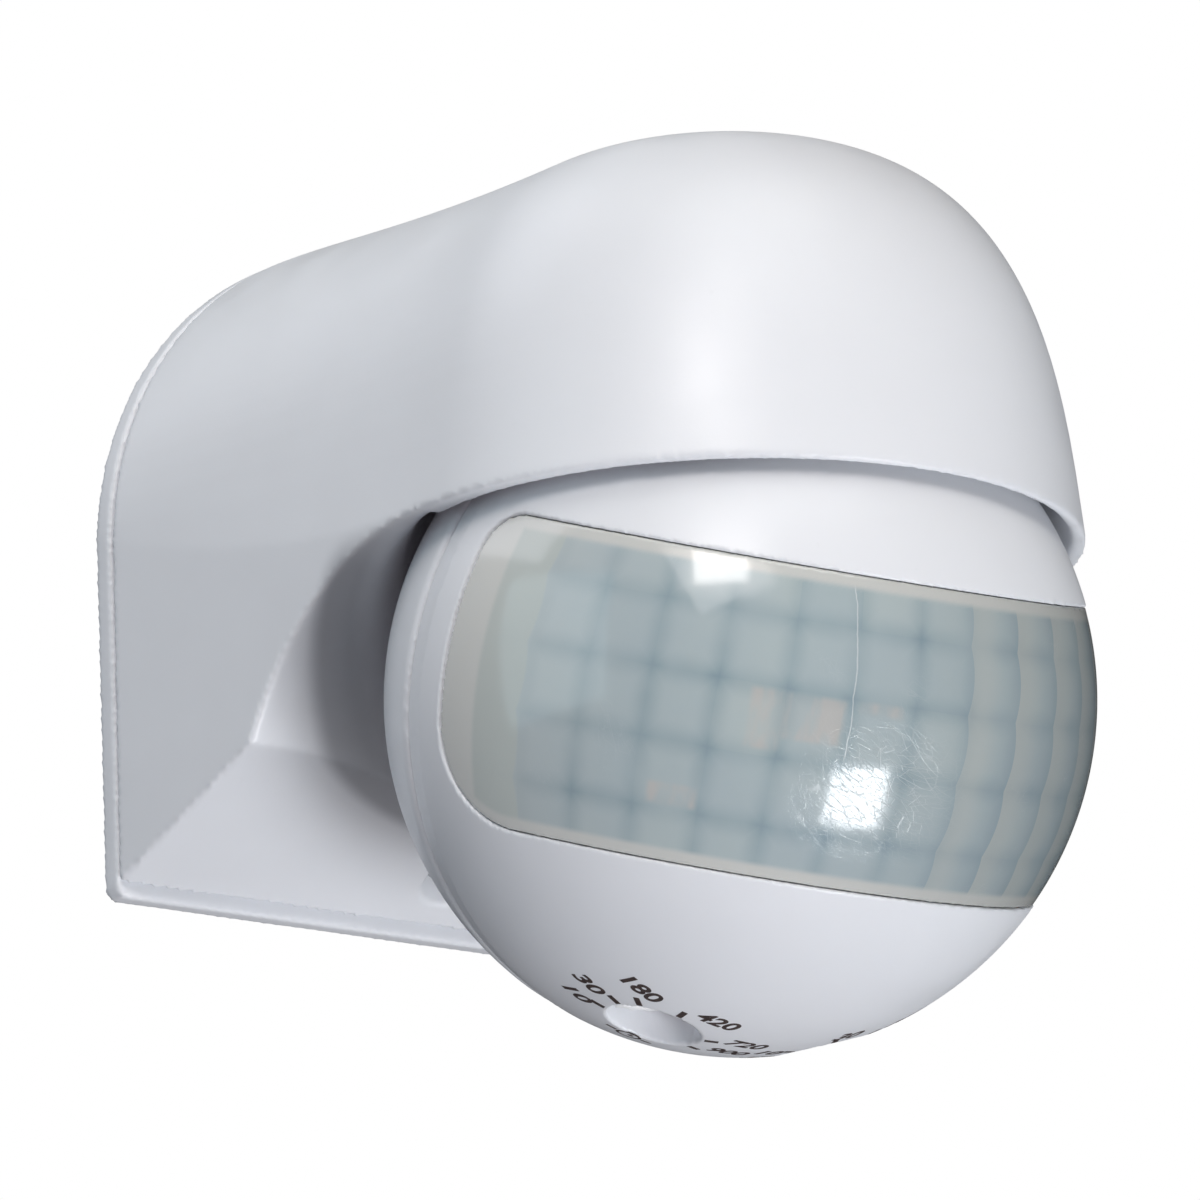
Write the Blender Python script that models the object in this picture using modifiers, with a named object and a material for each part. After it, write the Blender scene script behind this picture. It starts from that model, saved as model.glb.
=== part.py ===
"""A wall-mounted motion sensor: a hooded base on the wall, and a ball head that pans and tilts under it.

Sizes below are in millimetres and become metres when an object is made. The origin is on the wall face,
at the centre of the back plate's arch. +X is right seen from the front, +Y points into the wall, +Z is up.
"""

import math

import bmesh
import bpy
from mathutils import Matrix, Vector

MM = 0.001
GAP = 0.3
BITE = 0.4
ROUND = 32

# Ball head
BALL_CENTRE = Vector((0.0, -57.3, -23.0))
BALL_R = 35.0
SHELL = 2.2
SHELL_IN_R = BALL_R - SHELL
SEAM_Y = 5.6
SEAM_R = 34.4
CREASE_Y = 2.2
FLANGE_R = 31.0
FRONT_BOSS_R = 3.2
REAR_BOSS_R = 4.0
SHELL_SCREW_HOLE_R = 1.5
SHELL_SCREW_HEAD_R = 2.3
REST_PAN = -4.0
REST_TILT = 20.0

# Back plate and hood
PLATE_R = 38.0
ARCH_RISE = 0.978
PLATE_FOOT = -36.9
PLATE_FOOT_HALF = 36.9
PLATE_T = 2.6
LIP_INSET = 4.2
LIP_T = 1.5
LIP_FOOT = 6.6
LIP_H = 2.5
SEAL_INSET = 2.8
SEAL_W = 1.1
SEAL_FOOT = 5.0
SEAL_T = 1.7
LUG_HALF = 5.0
LUG_REACH = 4.0
LUG_LOW = -27.2
LUG_T = 4.0
HOOD_WALL = 2.2
HOOD_BACK_Y = -(PLATE_T + GAP)
DOME_R = 35.3
DOME_Y = BALL_CENTRE.y + 1.5
DOME_TOP = 32.3
DOME_SQUARE = 3.2
DOME_LEAN = 4.2
TUNNEL_EASE = 2.2
RIM_Z = BALL_CENTRE.z + 15.0
SOCKET_R = BALL_R + 1.2

# Scooped underside of the hood, in the side plane measured from the ball's centre
SCOOP_CENTRE = Vector((5.0, -15.4))
SCOOP_R = 30.4
SCOOP_START = 25.1
SCOOP_BALL_R = 35.6
SCOOP_BLEND = 8

# Cover screw and cable entry
SCREW_Y = -10.0
SCREW_SEAT_Z = -29.5
SCREW_POCKET_R = 3.8
SCREW_BOSS_BACK = -5.4
SCREW_BOSS_R = 5.6
SCREW_CLEARANCE_R = 1.8
CABLE_Z = -12.0
CABLE_HOLE_R = 7.5
LEAD_HOLE_R = 3.5
GROMMET_R = 9.2
GROMMET_T = 1.4
GROMMET_BACK = 0.2
SLOT_X = 24.0
SLOT_W = 5.0
SLOT_L = 10.0

# Swivel stem, measured from the ball's centre
STEM_R = 5.0
STEM_BORE_R = 2.7
STEM_TOP = 46.0
COLLAR_R = 6.0
BOSS_TOP = 40.0
BOSS_R = 9.5
WASHER_R = 8.4
WASHER_T = 0.8
NUT_R = 8.6
NUT_T = 3.0
EYE_R = 5.5
EYE_HALF = 5.5
PIN_R = 2.0
RIB_X = 7.0
RIB_T = 2.0
RIB_R = 4.2
SLOT_HALF = 6.7
SLOT_FROM = -12.5
SLOT_TO = 52.5

# Lens window, as a side outline that is cut across the ball
WINDOW_HALF = 14.8
WINDOW_BACK = -1.3
WINDOW_TOP_CORNER = 4.0
WINDOW_LOW_CORNER = 9.0
LENS_R = 34.85
LENS_STEP_R = 33.8
LENS_IN_R = 33.1

# Boards and dials
BOARD_T = 1.6
BOARD_LEAN = -17.0
POWER_Z = -16.0
POWER_HALF = 16.8
SENSOR_Y = -9.0
DIAL_X = 9.9
DIAL_HOLE_R = 4.5
KNOB_R = 4.15
KNOB_FACE = -30.3
KNOB_BACK = -27.0
KNOB_SHAFT_R = 1.45
SKIRT_R = 5.3
SKIRT_FACE = -28.4
FLUTES = 12
FLUTE_DEPTH = 0.25
COLLAR_R = 5.7
COLLAR_BACK = -28.8

SHELL_SCREWS = (
    ("upper_left", -19.3, 23.0),
    ("upper_right", 19.3, 23.0),
    ("lower_left", -21.5, -21.0),
    ("lower_right", 21.5, -21.0),
)

SIDE = Matrix(((0, 0, 1, 0), (1, 0, 0, 0), (0, 1, 0, 0), (0, 0, 0, 1)))
FRONTWARD = Matrix.Rotation(math.radians(90), 4, "X")
BACKWARD = Matrix.Rotation(math.radians(-90), 4, "X")


# ---------------------------------------------------------------- scene and materials


def clear_scene():
    for obj in list(bpy.data.objects):
        bpy.data.objects.remove(obj, do_unlink=True)


def new_collection(name, parent):
    collection = bpy.data.collections.new(name)
    parent.children.link(collection)
    return collection


def make_material(name, colour, roughness, metallic=0.0, alpha=1.0):
    material = bpy.data.materials.new(name)
    material.use_nodes = True
    shader = material.node_tree.nodes["Principled BSDF"]
    shader.inputs["Base Color"].default_value = (*colour, 1.0)
    shader.inputs["Roughness"].default_value = roughness
    shader.inputs["Metallic"].default_value = metallic
    shader.inputs["Alpha"].default_value = alpha
    return material


def white_plastic(name):
    return make_material(name, (0.80, 0.82, 0.84), 0.42)


def inner_plastic(name):
    return make_material(name, (0.72, 0.73, 0.72), 0.5)


def lens_plastic(name):
    return make_material(name, (0.62, 0.68, 0.69), 0.3, alpha=0.8)


def steel(name):
    return make_material(name, (0.62, 0.63, 0.64), 0.3, metallic=1.0)


def brass(name):
    return make_material(name, (0.78, 0.6, 0.3), 0.32, metallic=1.0)


def rubber(name):
    return make_material(name, (0.05, 0.05, 0.05), 0.75)


def board_resin(name):
    return make_material(name, (0.03, 0.22, 0.09), 0.45)


def dark_plastic(name):
    return make_material(name, (0.03, 0.03, 0.035), 0.45)


def coloured_plastic(colour):
    def make(name):
        return make_material(name, colour, 0.4)

    return make


# ---------------------------------------------------------------- shapes


def add_object(name, mesh, place=None):
    """A new object in the cutters' collection. finish() moves a real part out of it."""
    obj = bpy.data.objects.new(name, mesh)
    CUTTERS.objects.link(obj)
    obj.hide_render = True
    obj.display_type = "WIRE"
    if place is not None:
        obj.matrix_local = place
    return obj


def from_bmesh(name, shape, place=None):
    bmesh.ops.recalc_face_normals(shape, faces=shape.faces)
    bmesh.ops.scale(shape, vec=(MM, MM, MM), verts=shape.verts)
    mesh = bpy.data.meshes.new(name)
    shape.to_mesh(mesh)
    shape.free()
    return add_object(name, mesh, place)


def box(name, low, high, place=None):
    shape = bmesh.new()
    bmesh.ops.create_cube(shape, size=1.0)
    size = Vector(high) - Vector(low)
    middle = (Vector(high) + Vector(low)) / 2
    bmesh.ops.scale(shape, vec=size, verts=shape.verts)
    bmesh.ops.translate(shape, vec=middle, verts=shape.verts)
    return from_bmesh(name, shape, place)


def rod(name, radius, start, end, segments=ROUND, place=None):
    start = Vector(start)
    along = Vector(end) - start
    turn = along.to_track_quat("Z", "Y").to_matrix().to_4x4()
    middle = Matrix.Translation(start + along / 2)
    shape = bmesh.new()
    bmesh.ops.create_cone(
        shape,
        cap_ends=True,
        segments=segments,
        radius1=radius,
        radius2=radius,
        depth=along.length,
        matrix=middle @ turn,
    )
    return from_bmesh(name, shape, place)


def sphere(name, radius, centre=(0, 0, 0), segments=32):
    shape = bmesh.new()
    bmesh.ops.create_uvsphere(shape, u_segments=segments, v_segments=segments // 2, radius=radius)
    bmesh.ops.translate(shape, vec=centre, verts=shape.verts)
    return from_bmesh(name, shape)


def turned(name, profile, segments=ROUND, closed=False, place=None):
    """A profile of (radius, height) points, run down its outer side, turned about the local Z axis."""
    points = [(radius * MM, 0.0, height * MM) for radius, height in profile]
    edges = [(i, i + 1) for i in range(len(points) - 1)]
    if closed:
        edges.append((len(points) - 1, 0))
    mesh = bpy.data.meshes.new(name)
    mesh.from_pydata(points, edges, [])
    obj = add_object(name, mesh, place)
    screw = obj.modifiers.new("turn", "SCREW")
    screw.axis = "Z"
    screw.steps = segments
    screw.render_steps = segments
    screw.use_merge_vertices = True
    screw.merge_threshold = 0.00001
    return obj


def slab(name, outlines, low, high, place=None):
    """A flat outline in the local XY plane, with any holes, thick from low to high along local Z."""
    curve = bpy.data.curves.new(name, "CURVE")
    curve.dimensions = "2D"
    curve.fill_mode = "BOTH"
    curve.extrude = (high - low) / 2 * MM
    for outline in outlines:
        spline = curve.splines.new("POLY")
        spline.points.add(len(outline) - 1)
        for point, (x, y) in zip(spline.points, outline):
            point.co = (x * MM, y * MM, 0.0, 1.0)
        spline.use_cyclic_u = True
    drawn = bpy.data.objects.new(name + "_outline", curve)
    CUTTERS.objects.link(drawn)
    graph = bpy.context.evaluated_depsgraph_get()
    mesh = bpy.data.meshes.new_from_object(drawn.evaluated_get(graph))
    bpy.data.objects.remove(drawn, do_unlink=True)
    bpy.data.curves.remove(curve)
    shape = bmesh.new()
    shape.from_mesh(mesh)
    bmesh.ops.remove_doubles(shape, verts=shape.verts, dist=0.000001)
    bmesh.ops.translate(shape, vec=(0, 0, (high + low) / 2 * MM), verts=shape.verts)
    bmesh.ops.recalc_face_normals(shape, faces=shape.faces)
    shape.to_mesh(mesh)
    shape.free()
    mesh.name = name
    return add_object(name, mesh, place)


def arc(centre, radius, start, end, steps):
    """Points on an arc between two angles in degrees, ends included."""
    points = []
    for i in range(steps + 1):
        angle = math.radians(start + (end - start) * i / steps)
        points.append((centre[0] + radius * math.cos(angle), centre[1] + radius * math.sin(angle)))
    return points


def boolean(target, operation, *tools):
    for tool in tools:
        modifier = target.modifiers.new(tool.name, "BOOLEAN")
        modifier.operation = operation
        modifier.solver = "EXACT"
        modifier.object = tool
    return target


def cut(target, *tools):
    return boolean(target, "DIFFERENCE", *tools)


def join(target, *tools):
    return boolean(target, "UNION", *tools)


def keep_inside(target, *tools):
    return boolean(target, "INTERSECT", *tools)


def finish(obj, finish_of, parent=None):
    """Turn a shape into a part, with its own material, collection and place, and its cutters beside it."""
    CUTTERS.objects.unlink(obj)
    PARTS.objects.link(obj)
    obj.hide_render = False
    obj.display_type = "TEXTURED"
    obj.data.materials.clear()
    obj.data.materials.append(finish_of(obj.name))
    for polygon in obj.data.polygons:
        polygon.use_smooth = True
    hang(obj, parent)
    return obj


def hang(obj, parent):
    """Parent the object and every cutter under it, so that they move as one."""
    if obj.parent is None:
        obj.parent = parent
    for modifier in obj.modifiers:
        if modifier.type == "BOOLEAN":
            hang(modifier.object, parent)


def axis_empty(name, location, rotation, parent=None):
    empty = bpy.data.objects.new(name, None)
    PARTS.objects.link(empty)
    empty.location = Vector(location) * MM
    empty.rotation_euler = [math.radians(angle) for angle in rotation]
    empty.empty_display_size = 0.02
    empty.parent = parent
    return empty


# ---------------------------------------------------------------- wall plate


def arch_outline(inset, foot, corner=1.3):
    """The plate's outline drawn in by inset on its arch, with its foot at a given height."""
    radius = PLATE_R - inset
    foot_half = PLATE_FOOT_HALF - inset
    points = arc((foot_half - corner, foot + corner), corner, -90, 0, 3)
    points += [(x, z * ARCH_RISE) for x, z in arc((0, 0), radius, 0, 180, 36)]
    points += arc((-foot_half + corner, foot + corner), corner, 180, 270, 3)
    return points


def slot_outline(x):
    half = SLOT_L / 2 - SLOT_W / 2
    top = arc((x, half), SLOT_W / 2, 0, 180, 8)
    bottom = arc((x, -half), SLOT_W / 2, 180, 360, 8)
    return top + bottom


def make_wall_plate():
    holes = [slot_outline(-SLOT_X), slot_outline(SLOT_X)]
    holes.append(arc((0, CABLE_Z), CABLE_HOLE_R, 0, 350, 35))
    plate = slab("wall_plate", [arch_outline(0, PLATE_FOOT)] + holes, 0, PLATE_T, FRONTWARD)
    lip = slab(
        "plate_lip",
        [
            arch_outline(LIP_INSET, PLATE_FOOT + LIP_FOOT),
            arch_outline(LIP_INSET + LIP_T, PLATE_FOOT + LIP_FOOT + LIP_T),
        ],
        PLATE_T - BITE,
        PLATE_T + LIP_H,
        FRONTWARD,
    )
    lug_high = (LUG_HALF, BITE - PLATE_T, LUG_LOW + LUG_T)
    lug = box("screw_lug", (-LUG_HALF, SCREW_Y - LUG_REACH, LUG_LOW), lug_high)
    lug_hole = rod("lug_hole", SCREW_CLEARANCE_R, (0, SCREW_Y, -40), (0, SCREW_Y, -10), 20)
    join(plate, lip, lug)
    cut(plate, lug_hole)
    return finish(plate, white_plastic)


def make_cover_seal():
    outside = arch_outline(SEAL_INSET, PLATE_FOOT + SEAL_FOOT)
    inside = arch_outline(SEAL_INSET + SEAL_W, PLATE_FOOT + SEAL_FOOT + SEAL_W)
    seal = slab("cover_seal", [outside, inside], PLATE_T + GAP, PLATE_T + GAP + SEAL_T, FRONTWARD)
    return finish(seal, rubber)


def make_cable_grommet():
    low = PLATE_T + GAP
    profile = [
        (GROMMET_R, low + GROMMET_T),
        (GROMMET_R, low),
        (CABLE_HOLE_R - GAP, low),
        (CABLE_HOLE_R - GAP, GROMMET_BACK),
        (LEAD_HOLE_R, GROMMET_BACK),
        (LEAD_HOLE_R, low + GROMMET_T),
    ]
    place = Matrix.Translation((0, 0, CABLE_Z * MM)) @ FRONTWARD
    return finish(turned("cable_grommet", profile, closed=True, place=place), rubber)


def make_cover_screw():
    profile = [
        (0, SCREW_SEAT_Z + 8.0),
        (1.5, SCREW_SEAT_Z + 7.4),
        (1.5, SCREW_SEAT_Z - GAP),
        (3.2, SCREW_SEAT_Z - GAP),
        (3.2, SCREW_SEAT_Z - 1.9),
        (2.6, SCREW_SEAT_Z - 2.4),
        (0, SCREW_SEAT_Z - 2.4),
    ]
    screw = turned("cover_screw", profile, place=Matrix.Translation((0, SCREW_Y * MM, 0)))
    for name, half_x, half_y in (("cross_a", 2.0, 0.45), ("cross_b", 0.45, 2.0)):
        low = (-half_x, SCREW_Y - half_y, SCREW_SEAT_Z - 5)
        high = (half_x, SCREW_Y + half_y, SCREW_SEAT_Z - 1.3)
        cut(screw, box("cover_screw_" + name, low, high))
    return finish(screw, steel)


TERMINAL_LOW = (-13.5, -15.0, 9.0)
TERMINAL_HIGH = (13.5, -PLATE_T - GAP, 20.0)
TERMINALS = (("live", -9.0), ("neutral", 0.0), ("load", 9.0))


def make_terminal_block():
    block = box("terminal_block", TERMINAL_LOW, TERMINAL_HIGH)
    middle = (TERMINAL_LOW[2] + TERMINAL_HIGH[2]) / 2 + 1.0
    for name, x in TERMINALS:
        well = rod("well_" + name, 2.6, (x, -16, middle), (x, -9, middle), 20)
        entry = box("entry_" + name, (x - 1.9, -10.4, 7), (x + 1.9, -6.2, 21))
        cut(block, well, entry)
    for x in (-4.5, 4.5):
        cut(block, box("divider", (x - 0.4, -16, 8), (x + 0.4, -13, 21)))
    return finish(block, inner_plastic)


def make_terminal_screw(name, x):
    middle = (TERMINAL_LOW[2] + TERMINAL_HIGH[2]) / 2 + 1.0
    place = Matrix.Translation((x * MM, 0, middle * MM)) @ FRONTWARD
    profile = [(0, 14.2), (2.1, 14.2), (2.1, 12.2), (1.3, 12.2), (1.3, 8.6), (0, 8.6)]
    screw = turned("terminal_screw_" + name, profile, 20, place=place)
    slot = box("terminal_slot_" + name, (x - 3, -15, middle - 0.35), (x + 3, -13.6, middle + 0.35))
    cut(screw, slot)
    return finish(screw, brass)


# ---------------------------------------------------------------- hood


def hood_section(blend, inset):
    """Half of the hood's cross-section, foot to crown, from the dome (blend 0) to the wall arch (blend 1)."""
    ease = blend**TUNNEL_EASE
    half = DOME_R + (PLATE_R - DOME_R) * ease - inset
    spring = RIM_Z * (1 - ease)
    crown = DOME_TOP + (PLATE_R * ARCH_RISE - DOME_TOP) * ease - inset
    power = 2 / (DOME_SQUARE + (2.0 - DOME_SQUARE) * ease)
    foot_half = half - (PLATE_R - PLATE_FOOT_HALF) * ease
    foot = PLATE_FOOT - 8.0
    points = []
    for step in range(3):
        share = step / 3
        points.append((foot_half + (half - foot_half) * share, foot + (spring - foot) * share))
    for step in range(15):
        angle = math.radians(90 * step / 14)
        x = half * max(math.cos(angle), 0.0) ** power
        rise = math.sin(angle) ** power
        lean = DOME_LEAN * (1 - ease) * rise * x / half
        points.append((x - lean, spring + (crown - spring) * rise))
    points[-1] = (0.0, crown)
    return points


def hood_body(name, inset, back_y, front_steps=24, rear_steps=7):
    """The hood's whole outside, or its hollow when drawn in by inset: a loft from the wall round the dome."""
    rails = []
    for side in (1, -1):
        rear = []
        if back_y > HOOD_BACK_Y:
            rear.append([(side * x, back_y, z) for x, z in hood_section(1.0, inset)])
        for step in range(rear_steps):
            blend = 1 - step / rear_steps
            y = DOME_Y + (HOOD_BACK_Y - DOME_Y) * blend
            rear.append([(side * x, y, z) for x, z in hood_section(blend, inset)])
        rails.append(rear)
    dome = []
    for step in range(front_steps + 1):
        angle = math.radians(180 * step / front_steps)
        ring = []
        for x, z in hood_section(0.0, inset):
            ring.append((x * math.cos(angle), DOME_Y - x * math.sin(angle), z))
        dome.append(ring)
    stations = rails[0] + dome + rails[1][::-1]
    return loft(name, stations, cap_foot=True)


def loft(name, stations, cap_foot=False):
    """A skin through open stations of equal length; its two ends, and the foot if asked, are closed flat."""
    shape = bmesh.new()
    rows = [[shape.verts.new(point) for point in station] for station in stations]
    for row, following in zip(rows, rows[1:]):
        for i in range(len(row) - 1):
            shape.faces.new((row[i], row[i + 1], following[i + 1], following[i]))
    if cap_foot:
        shape.faces.new([row[0] for row in rows])
        shape.faces.new(rows[0] + rows[-1][::-1])
    else:
        for row, following in zip(rows, rows[1:]):
            shape.faces.new((row[-1], row[0], following[0], following[-1]))
        shape.faces.new(rows[0])
        shape.faces.new(rows[-1][::-1])
    bmesh.ops.remove_doubles(shape, verts=shape.verts, dist=0.001)
    return from_bmesh(name, shape)


def underside_z(y):
    """Height of the hood's sloping underside, from the scoop's corner back, about the ball's centre."""
    corner_y, corner_z = arc(SCOOP_CENTRE, SCOOP_R, SCOOP_START, SCOOP_START, 1)[0]
    slope = (PLATE_FOOT - BALL_CENTRE.z - corner_z) / (-BALL_CENTRE.y - corner_y)
    return corner_z + slope * (y - corner_y)


def scoop_station(x, grow):
    """One side outline of the scooped space under the hood, at x, drawn out by grow."""
    ball = math.sqrt(max(SCOOP_BALL_R**2 - x**2, 0.0))
    outline = []
    for y, z in arc(SCOOP_CENTRE, SCOOP_R, SCOOP_START, 90, 12):
        reach = math.hypot(y, z)
        blended = (reach**SCOOP_BLEND + ball**SCOOP_BLEND) ** (1 / SCOOP_BLEND) + grow
        outline.append((y * blended / reach, z * blended / reach))
    corner_y = outline[0][0]
    outline[0] = (corner_y, underside_z(corner_y) + 1.1 * grow)
    rim = RIM_Z - BALL_CENTRE.z + grow
    behind_wall = -BALL_CENTRE.y + 5.0
    outline.append((outline[-1][0] - 0.5, rim))
    outline.append((-60.0, rim))
    outline.append((-60.0, -60.0))
    outline.append((behind_wall, -60.0))
    outline.append((behind_wall, underside_z(behind_wall) + 1.1 * grow))
    return [(x, y + BALL_CENTRE.y, z + BALL_CENTRE.z) for y, z in outline]


def scoop(name, grow):
    stations = [scoop_station(x, grow) for x in range(-45, 46, 5)]
    return loft(name, stations)


def make_hood():
    hood = hood_body("hood", 0.0, HOOD_BACK_Y)
    chamber = hood_body("chamber", HOOD_WALL, 3.0, front_steps=14, rear_steps=4)
    chamber_socket = sphere("chamber_socket", SOCKET_R + HOOD_WALL, BALL_CENTRE)
    cut(chamber, scoop("chamber_floor", HOOD_WALL), chamber_socket)
    cut(hood, chamber)
    centre = BALL_CENTRE
    boss = rod("stem_boss", BOSS_R, (0, centre.y, 13), (0, centre.y, centre.z + BOSS_TOP))
    screw_boss = rod("screw_boss", SCREW_BOSS_R, (0, SCREW_Y, -34.5), (0, SCREW_Y, -27.5), 24)
    back_trim = box("back_trim", (-8, SCREW_BOSS_BACK, -40), (8, 3, -20))
    cut(screw_boss, back_trim)
    join(hood, boss, screw_boss)
    pocket = rod("screw_pocket", SCREW_POCKET_R, (0, SCREW_Y, -45), (0, SCREW_Y, SCREW_SEAT_Z), 24)
    pocket_mouth = box("pocket_mouth", (-SCREW_POCKET_R, -18, -45), (SCREW_POCKET_R, SCREW_Y, SCREW_SEAT_Z))
    clearance = rod("screw_clearance", SCREW_CLEARANCE_R, (0, SCREW_Y, -32), (0, SCREW_Y, -20), 20)
    stem_hole = rod("stem_hole", STEM_R + GAP, (0, centre.y, 5), (0, centre.y, 25))
    cut(hood, scoop("underside", 0.0), sphere("socket", SOCKET_R, centre, 48))
    cut(hood, stem_hole, pocket, pocket_mouth, clearance)
    return finish(hood, white_plastic)


def make_friction_washer():
    low = BALL_CENTRE.z + BOSS_TOP + GAP
    high = low + WASHER_T
    profile = [(WASHER_R, high), (WASHER_R, low), (STEM_R + GAP, low), (STEM_R + GAP, high)]
    place = Matrix.Translation((0, BALL_CENTRE.y * MM, 0))
    return finish(turned("friction_washer", profile, closed=True, place=place), rubber)


def make_hood_lead():
    """The supply lead from the terminals over the socket and down the hollow stem."""
    curve = bpy.data.curves.new("hood_lead", "CURVE")
    curve.dimensions = "3D"
    curve.bevel_depth = 1.5 * MM
    curve.bevel_resolution = 2
    curve.resolution_u = 5
    curve.use_fill_caps = True
    route = [
        (0.0, -16.4, 18.0),
        (0.0, -25.0, 23.5),
        (0.0, -40.0, 26.8),
        (0.0, BALL_CENTRE.y + 3.5, 27.4),
        (0.0, BALL_CENTRE.y, 24.5),
        (0.0, BALL_CENTRE.y, 14.0),
        (0.0, BALL_CENTRE.y, 0.0),
    ]
    spline = curve.splines.new("BEZIER")
    spline.bezier_points.add(len(route) - 1)
    for point, place in zip(spline.bezier_points, route):
        point.co = Vector(place) * MM
        point.handle_left_type = "AUTO"
        point.handle_right_type = "AUTO"
    obj = bpy.data.objects.new("hood_lead", curve)
    PARTS.objects.link(obj)
    curve.materials.append(rubber("hood_lead"))
    return obj


# ---------------------------------------------------------------- swivel bracket, about the ball's centre


def make_swivel_stem(parent):
    stem = rod("swivel_stem", STEM_R, (0, 0, 0), (0, 0, STEM_TOP))
    eye = rod("stem_eye", EYE_R, (-EYE_HALF, 0, 0), (EYE_HALF, 0, 0))
    collar = rod("stem_collar", COLLAR_R, (0, 0, 32.8), (0, 0, 35.2))
    join(stem, eye, collar)
    bore = rod("stem_bore", STEM_BORE_R, (0, 0, 10), (0, 0, STEM_TOP + 2), 20)
    window = box("stem_window", (-1.8, -8, 10), (1.8, 0, 16))
    pin_hole = rod("stem_pin_hole", PIN_R + GAP, (-9, 0, 0), (9, 0, 0), 20)
    cut(stem, bore, window, pin_hole)
    return finish(stem, inner_plastic, parent)


def make_swivel_nut(parent):
    low = BOSS_TOP + GAP + WASHER_T + GAP
    sides = arc((0, 0), NUT_R, 0, 300, 5)
    hole = arc((0, 0), STEM_R + GAP, 0, 345, 23)
    nut = slab("swivel_nut", [sides, hole], low, low + NUT_T)
    return finish(nut, inner_plastic, parent)


# ---------------------------------------------------------------- head shells, about the ball's centre


def window_outline(grow):
    """The lens window seen from the side: local X is the head's Y, local Y is its Z."""
    back = WINDOW_BACK + grow
    top = WINDOW_HALF + grow
    upper = WINDOW_TOP_CORNER + grow
    lower = WINDOW_LOW_CORNER + grow
    points = [(-45.0, -top)]
    points += arc((back - lower, -top + lower), lower, -90, 0, 8)
    points += arc((back - upper, top - upper), upper, 0, 90, 6)
    points.append((-45.0, top))
    return points


def window_prism(name, grow):
    return slab(name, [window_outline(grow)], -45, 45, SIDE)


def shell_profile(outer, inner, outer_end, inner_end, outer_steps, inner_steps):
    """Points from the pole down the outside to a height, and back up the inside to the pole."""
    outer_angle = math.degrees(math.asin(outer_end / outer))
    inner_angle = math.degrees(math.asin(inner_end / inner))
    points = arc((0, 0), outer, 90, outer_angle, outer_steps)
    points += arc((0, 0), inner, inner_angle, 90, inner_steps)
    points[0] = (0.0, outer)
    points[-1] = (0.0, inner)
    return points


def layer(name, outer, inner, back):
    """Part of a hollow ball in front of the plane y = back."""
    return turned(name, shell_profile(outer, inner, -back, -back, 12, 8), 40, place=FRONTWARD)


def slot_cutter(name):
    """The stem's way through the top of the ball, as wide as its collar and as long as the tilt."""
    points = []
    for radius, angle in ((20, SLOT_FROM), (50, SLOT_FROM), (50, SLOT_TO), (20, SLOT_TO)):
        turn = math.radians(angle)
        points.append((radius * math.sin(turn), radius * math.cos(turn)))
    return slab(name, [points[::-1]], -SLOT_HALF, SLOT_HALF, SIDE)


def make_front_shell(parent, board):
    crease = math.sqrt(BALL_R**2 - CREASE_Y**2)
    outer_angle = math.degrees(math.asin(-CREASE_Y / BALL_R))
    flange_angle = math.degrees(math.asin(-CREASE_Y / SHELL_IN_R))
    profile = arc((0, 0), BALL_R, 90, outer_angle, 14)
    profile[0] = (0.0, BALL_R)
    profile[-1] = (crease, -CREASE_Y)
    profile += [(SEAM_R, -SEAM_Y), (FLANGE_R, -SEAM_Y), (FLANGE_R, -3.2)]
    profile += arc((0, 0), SHELL_IN_R, flange_angle, 90, 7)
    profile[-1] = (0.0, SHELL_IN_R)
    shell = turned("front_shell", profile, 48, place=FRONTWARD)
    for name, x, z in SHELL_SCREWS:
        join(shell, rod("front_boss_" + name, FRONT_BOSS_R, (x, -4, z), (x, SEAM_Y, z), 20))
    rabbet = layer("rabbet", LENS_STEP_R + GAP, 30.0, 3.0)
    keep_inside(rabbet, window_prism("rabbet_window", 1.6))
    cut(shell, window_prism("window_cut", 0.0), rabbet, slot_cutter("front_slot"))
    for name, x, z in SHELL_SCREWS:
        cut(shell, rod("front_pilot_" + name, SHELL_SCREW_HOLE_R, (x, -3, z), (x, SEAM_Y + 2, z), 16))
    groove = [(33.7, -SEAM_Y + 0.9), (33.7, -SEAM_Y - 1), (32.3, -SEAM_Y - 1), (32.3, -SEAM_Y + 0.9)]
    cut(shell, turned("seal_groove", groove, 48, closed=True, place=FRONTWARD))
    for name, x in (("time", -DIAL_X), ("lux", DIAL_X)):
        collar = rod(name + "_collar", COLLAR_R, (x, 0, COLLAR_BACK), (x, 0, -40))
        hole = rod(name + "_hole", DIAL_HOLE_R, (x, 0, -26), (x, 0, -40))
        collar.parent = board
        hole.parent = board
        keep_inside(collar, sphere(name + "_collar_trim", BALL_R - 1.1))
        join(shell, collar)
        cut(shell, hole)
    return finish(shell, white_plastic, parent)


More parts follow.
